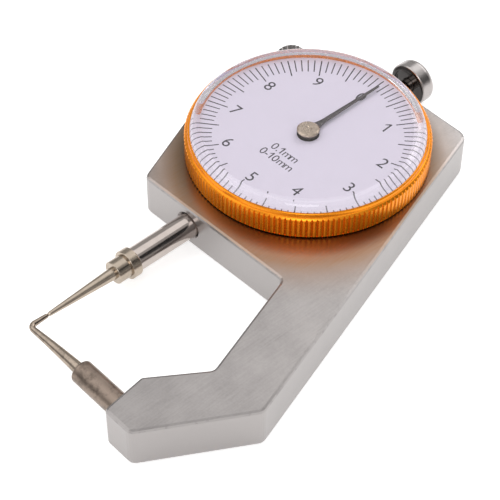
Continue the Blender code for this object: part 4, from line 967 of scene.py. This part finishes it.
class GaugeSizes(bpy.types.PropertyGroup):
    """Sizes of the fine surfaces and the print, and levels of the stage."""

    bezel_radius: length("Bezel radius", "Radius over the tips of the bezel's teeth", 0.021)
    tooth_depth: length("Tooth depth", "Depth of the bezel's V teeth", 0.0003)
    teeth: bpy.props.IntProperty(name="Teeth", description="Teeth round the bezel", default=150)
    crystal_wall: length("Crystal wall", "Thickness of the clear cap's wall at its foot", 0.00055)
    crystal_roof: length("Crystal roof", "Thickness of the clear cap's roof", 0.0013)
    crystal_bend: length("Crystal bend", "Width of the shoulder's outer round", 0.0017)
    crystal_shoulder: length("Crystal shoulder", "Height of the shoulder's outer round", 0.0017)
    crystal_inner_bend: length("Crystal inner bend", "Width of the shoulder's inner round", 0.0017)
    crystal_inner_shoulder: length("Crystal inner shoulder", "Height of the shoulder's inner round",
                                   0.00115)
    tick_outer: length("Tick outer radius", "Radius of the outer ends of the marks", 0.01927)
    major_inner: length("Major inner radius", "Radius of the long marks' inner ends", 0.01525)
    minor_inner: length("Minor inner radius", "Radius of the short marks' inner ends", 0.01627)
    major_width: length("Major width", "Width of the long marks", 0.00021)
    minor_width: length("Minor width", "Width of the short marks", 0.00019)
    digit_height: length("Number height", "Type size of the numbers", 0.0033)
    unit_height: length("Unit height", "Type size of the unit lines", 0.0023)
    dial_turn: bpy.props.FloatProperty(name="Dial turn", unit="ROTATION", default=math.radians(2.9),
                                       description="How far the dial is turned with its bezel")
    floor_glow: bpy.props.FloatProperty(name="Floor glow", default=0.5,
                                        description="White added to the floor as seen")
    world_level: bpy.props.FloatProperty(name="World level", default=0.5,
                                         description="Strength of the even light")


class GaugeColours(bpy.types.PropertyGroup):
    """Colours of the finishes."""

    zinc: colour("Zinc", "Ground and plated frame", (0.468, 0.44, 0.432))
    # Painted reflection and painted shadow of the bezel on the frame's top.
    zinc_painted_reflection: colour("Warm zinc", "Frame in the bezel's warm light", (0.385, 0.24, 0.155))
    zinc_painted_shadow: colour("Brown zinc", "Frame close round the bezel", (0.12, 0.09, 0.06))
    bezel: colour("Bezel", "Anodised bezel", (0.98, 0.31, 0.008))
    # Painted shade in the grooves and painted highlight on the outer lands.
    bezel_painted_groove_shade: colour("Bezel grooves", "Grooves between the bezel's lands", (0.92, 0.30, 0.012))
    bezel_painted_highlight: colour("Bezel wear", "Worn lands of the bezel", (0.98, 0.38, 0.03))
    chrome: colour("Chrome", "Ground spindle", (0.52, 0.46, 0.425))
    nickel: colour("Nickel", "Needle point of the spindle", (0.45, 0.38, 0.31))
    knob: colour("Knob", "Lift knob, and the lock screw at half its level", (0.45, 0.42, 0.41))
    hub: colour("Hub", "Cap of the hand", (0.52, 0.43, 0.33))
    drum: colour("Drum", "Darkened drum under the cap", (0.12, 0.09, 0.07))
    hand: colour("Hand", "Blackened hand", (0.075, 0.068, 0.066))
    dial: colour("Dial", "Printed ground", (0.75, 0.71, 0.80))
    ink: colour("Ink", "Marks, numbers and unit lines", (0.016, 0.012, 0.019))
    crystal: colour("Crystal", "Clear cap", (0.985, 0.98, 0.995))
    crystal_haze: colour("Crystal haze", "Haze of the clear cap's shoulder and seat", (0.84, 0.80, 0.90))


class GAUGE_OT_make_stage(bpy.types.Operator):
    """Add the camera, the floor, the world, the lamps and the dark card"""

    bl_idname = "gauge.make_stage"
    bl_label = "Studio"

    def execute(self, context):
        make_stage(context.scene.gauge_sizes)
        return {"FINISHED"}


class GAUGE_OT_dress_frame(bpy.types.Operator):
    """Finish the nodes that keep their CAD shape"""

    bl_idname = "gauge.dress_frame"
    bl_label = "Frame and movement"

    def execute(self, context):
        dress_frame(context.scene.gauge_colours)
        return {"FINISHED"}


class GAUGE_OT_make_bezel(bpy.types.Operator):
    """Make the knurled bezel ring"""

    bl_idname = "gauge.make_bezel"
    bl_label = "Bezel"

    def execute(self, context):
        make_bezel(context.scene.gauge_sizes, context.scene.gauge_colours)
        return {"FINISHED"}


class GAUGE_OT_make_dial(bpy.types.Operator):
    """Make the dial's ground and its marks"""

    bl_idname = "gauge.make_dial"
    bl_label = "Dial"

    def execute(self, context):
        make_dial(context.scene.gauge_sizes, context.scene.gauge_colours)
        return {"FINISHED"}


class GAUGE_OT_make_lettering(bpy.types.Operator):
    """Print the numbers and the unit lines"""

    bl_idname = "gauge.make_lettering"
    bl_label = "Lettering"

    def execute(self, context):
        make_lettering(context.scene.gauge_sizes, context.scene.gauge_colours)
        return {"FINISHED"}


class GAUGE_OT_make_hand(bpy.types.Operator):
    """Make the hand and its hub"""

    bl_idname = "gauge.make_hand"
    bl_label = "Hand"

    def execute(self, context):
        make_hand(context.scene.gauge_colours)
        return {"FINISHED"}


class GAUGE_OT_make_crystal(bpy.types.Operator):
    """Make the clear cap"""

    bl_idname = "gauge.make_crystal"
    bl_label = "Crystal"

    def execute(self, context):
        make_crystal(context.scene.gauge_sizes, context.scene.gauge_colours)
        return {"FINISHED"}


class GAUGE_OT_make_spindle(bpy.types.Operator):
    """Make the spindle with its rack, and its needle point"""

    bl_idname = "gauge.make_spindle"
    bl_label = "Spindle"

    def execute(self, context):
        make_spindle(context.scene.gauge_colours)
        return {"FINISHED"}


class GAUGE_OT_make_spring(bpy.types.Operator):
    """Make the coil that returns the spindle"""

    bl_idname = "gauge.make_spring"
    bl_label = "Return spring"

    def execute(self, context):
        make_spring()
        return {"FINISHED"}


class GAUGE_OT_make_lift_knob(bpy.types.Operator):
    """Make the lift knob"""

    bl_idname = "gauge.make_lift_knob"
    bl_label = "Lift knob"

    def execute(self, context):
        make_lift_knob(context.scene.gauge_colours)
        return {"FINISHED"}


class GAUGE_OT_make_anvil(bpy.types.Operator):
    """Make the anvil post and its bent needle"""

    bl_idname = "gauge.make_anvil"
    bl_label = "Anvil"

    def execute(self, context):
        make_anvil()
        return {"FINISHED"}


class GAUGE_OT_make_lock_screw(bpy.types.Operator):
    """Make the knurled lock screw"""

    bl_idname = "gauge.make_lock_screw"
    bl_label = "Lock screw"

    def execute(self, context):
        make_lock_screw(context.scene.gauge_colours)
        return {"FINISHED"}


OPERATORS = [
    GAUGE_OT_make_stage, GAUGE_OT_dress_frame, GAUGE_OT_make_bezel, GAUGE_OT_make_dial,
    GAUGE_OT_make_lettering, GAUGE_OT_make_hand, GAUGE_OT_make_crystal, GAUGE_OT_make_spindle,
    GAUGE_OT_make_spring, GAUGE_OT_make_lift_knob, GAUGE_OT_make_anvil, GAUGE_OT_make_lock_screw,
]


class GAUGE_PT_panel(bpy.types.Panel):
    """Buttons that make the gauge's pieces, and the settings that they use."""

    bl_label = "Thickness gauge"
    bl_space_type = "VIEW_3D"
    bl_region_type = "UI"
    bl_category = "Gauge"

    def draw(self, context):
        for kind in OPERATORS:
            self.layout.operator(kind.bl_idname, text=kind.bl_label)
        for name in GaugeSizes.__annotations__:
            self.layout.prop(context.scene.gauge_sizes, name)
        for name in GaugeColours.__annotations__:
            self.layout.prop(context.scene.gauge_colours, name)


CLASSES = [GaugeSizes, GaugeColours, *OPERATORS, GAUGE_PT_panel]


def register():
    for kind in CLASSES:
        bpy.utils.register_class(kind)
    bpy.types.Scene.gauge_sizes = bpy.props.PointerProperty(type=GaugeSizes)
    bpy.types.Scene.gauge_colours = bpy.props.PointerProperty(type=GaugeColours)


def unregister():
    del bpy.types.Scene.gauge_colours
    del bpy.types.Scene.gauge_sizes
    for kind in reversed(CLASSES):
        bpy.utils.unregister_class(kind)


def main():
    register()
    bpy.ops.gauge.make_stage()
    bpy.ops.gauge.dress_frame()
    bpy.ops.gauge.make_bezel()
    bpy.ops.gauge.make_dial()
    bpy.ops.gauge.make_lettering()
    bpy.ops.gauge.make_hand()
    bpy.ops.gauge.make_crystal()
    bpy.ops.gauge.make_spindle()
    bpy.ops.gauge.make_spring()
    bpy.ops.gauge.make_lift_knob()
    bpy.ops.gauge.make_anvil()
    bpy.ops.gauge.make_lock_screw()


if __name__ == "__main__":
    main()
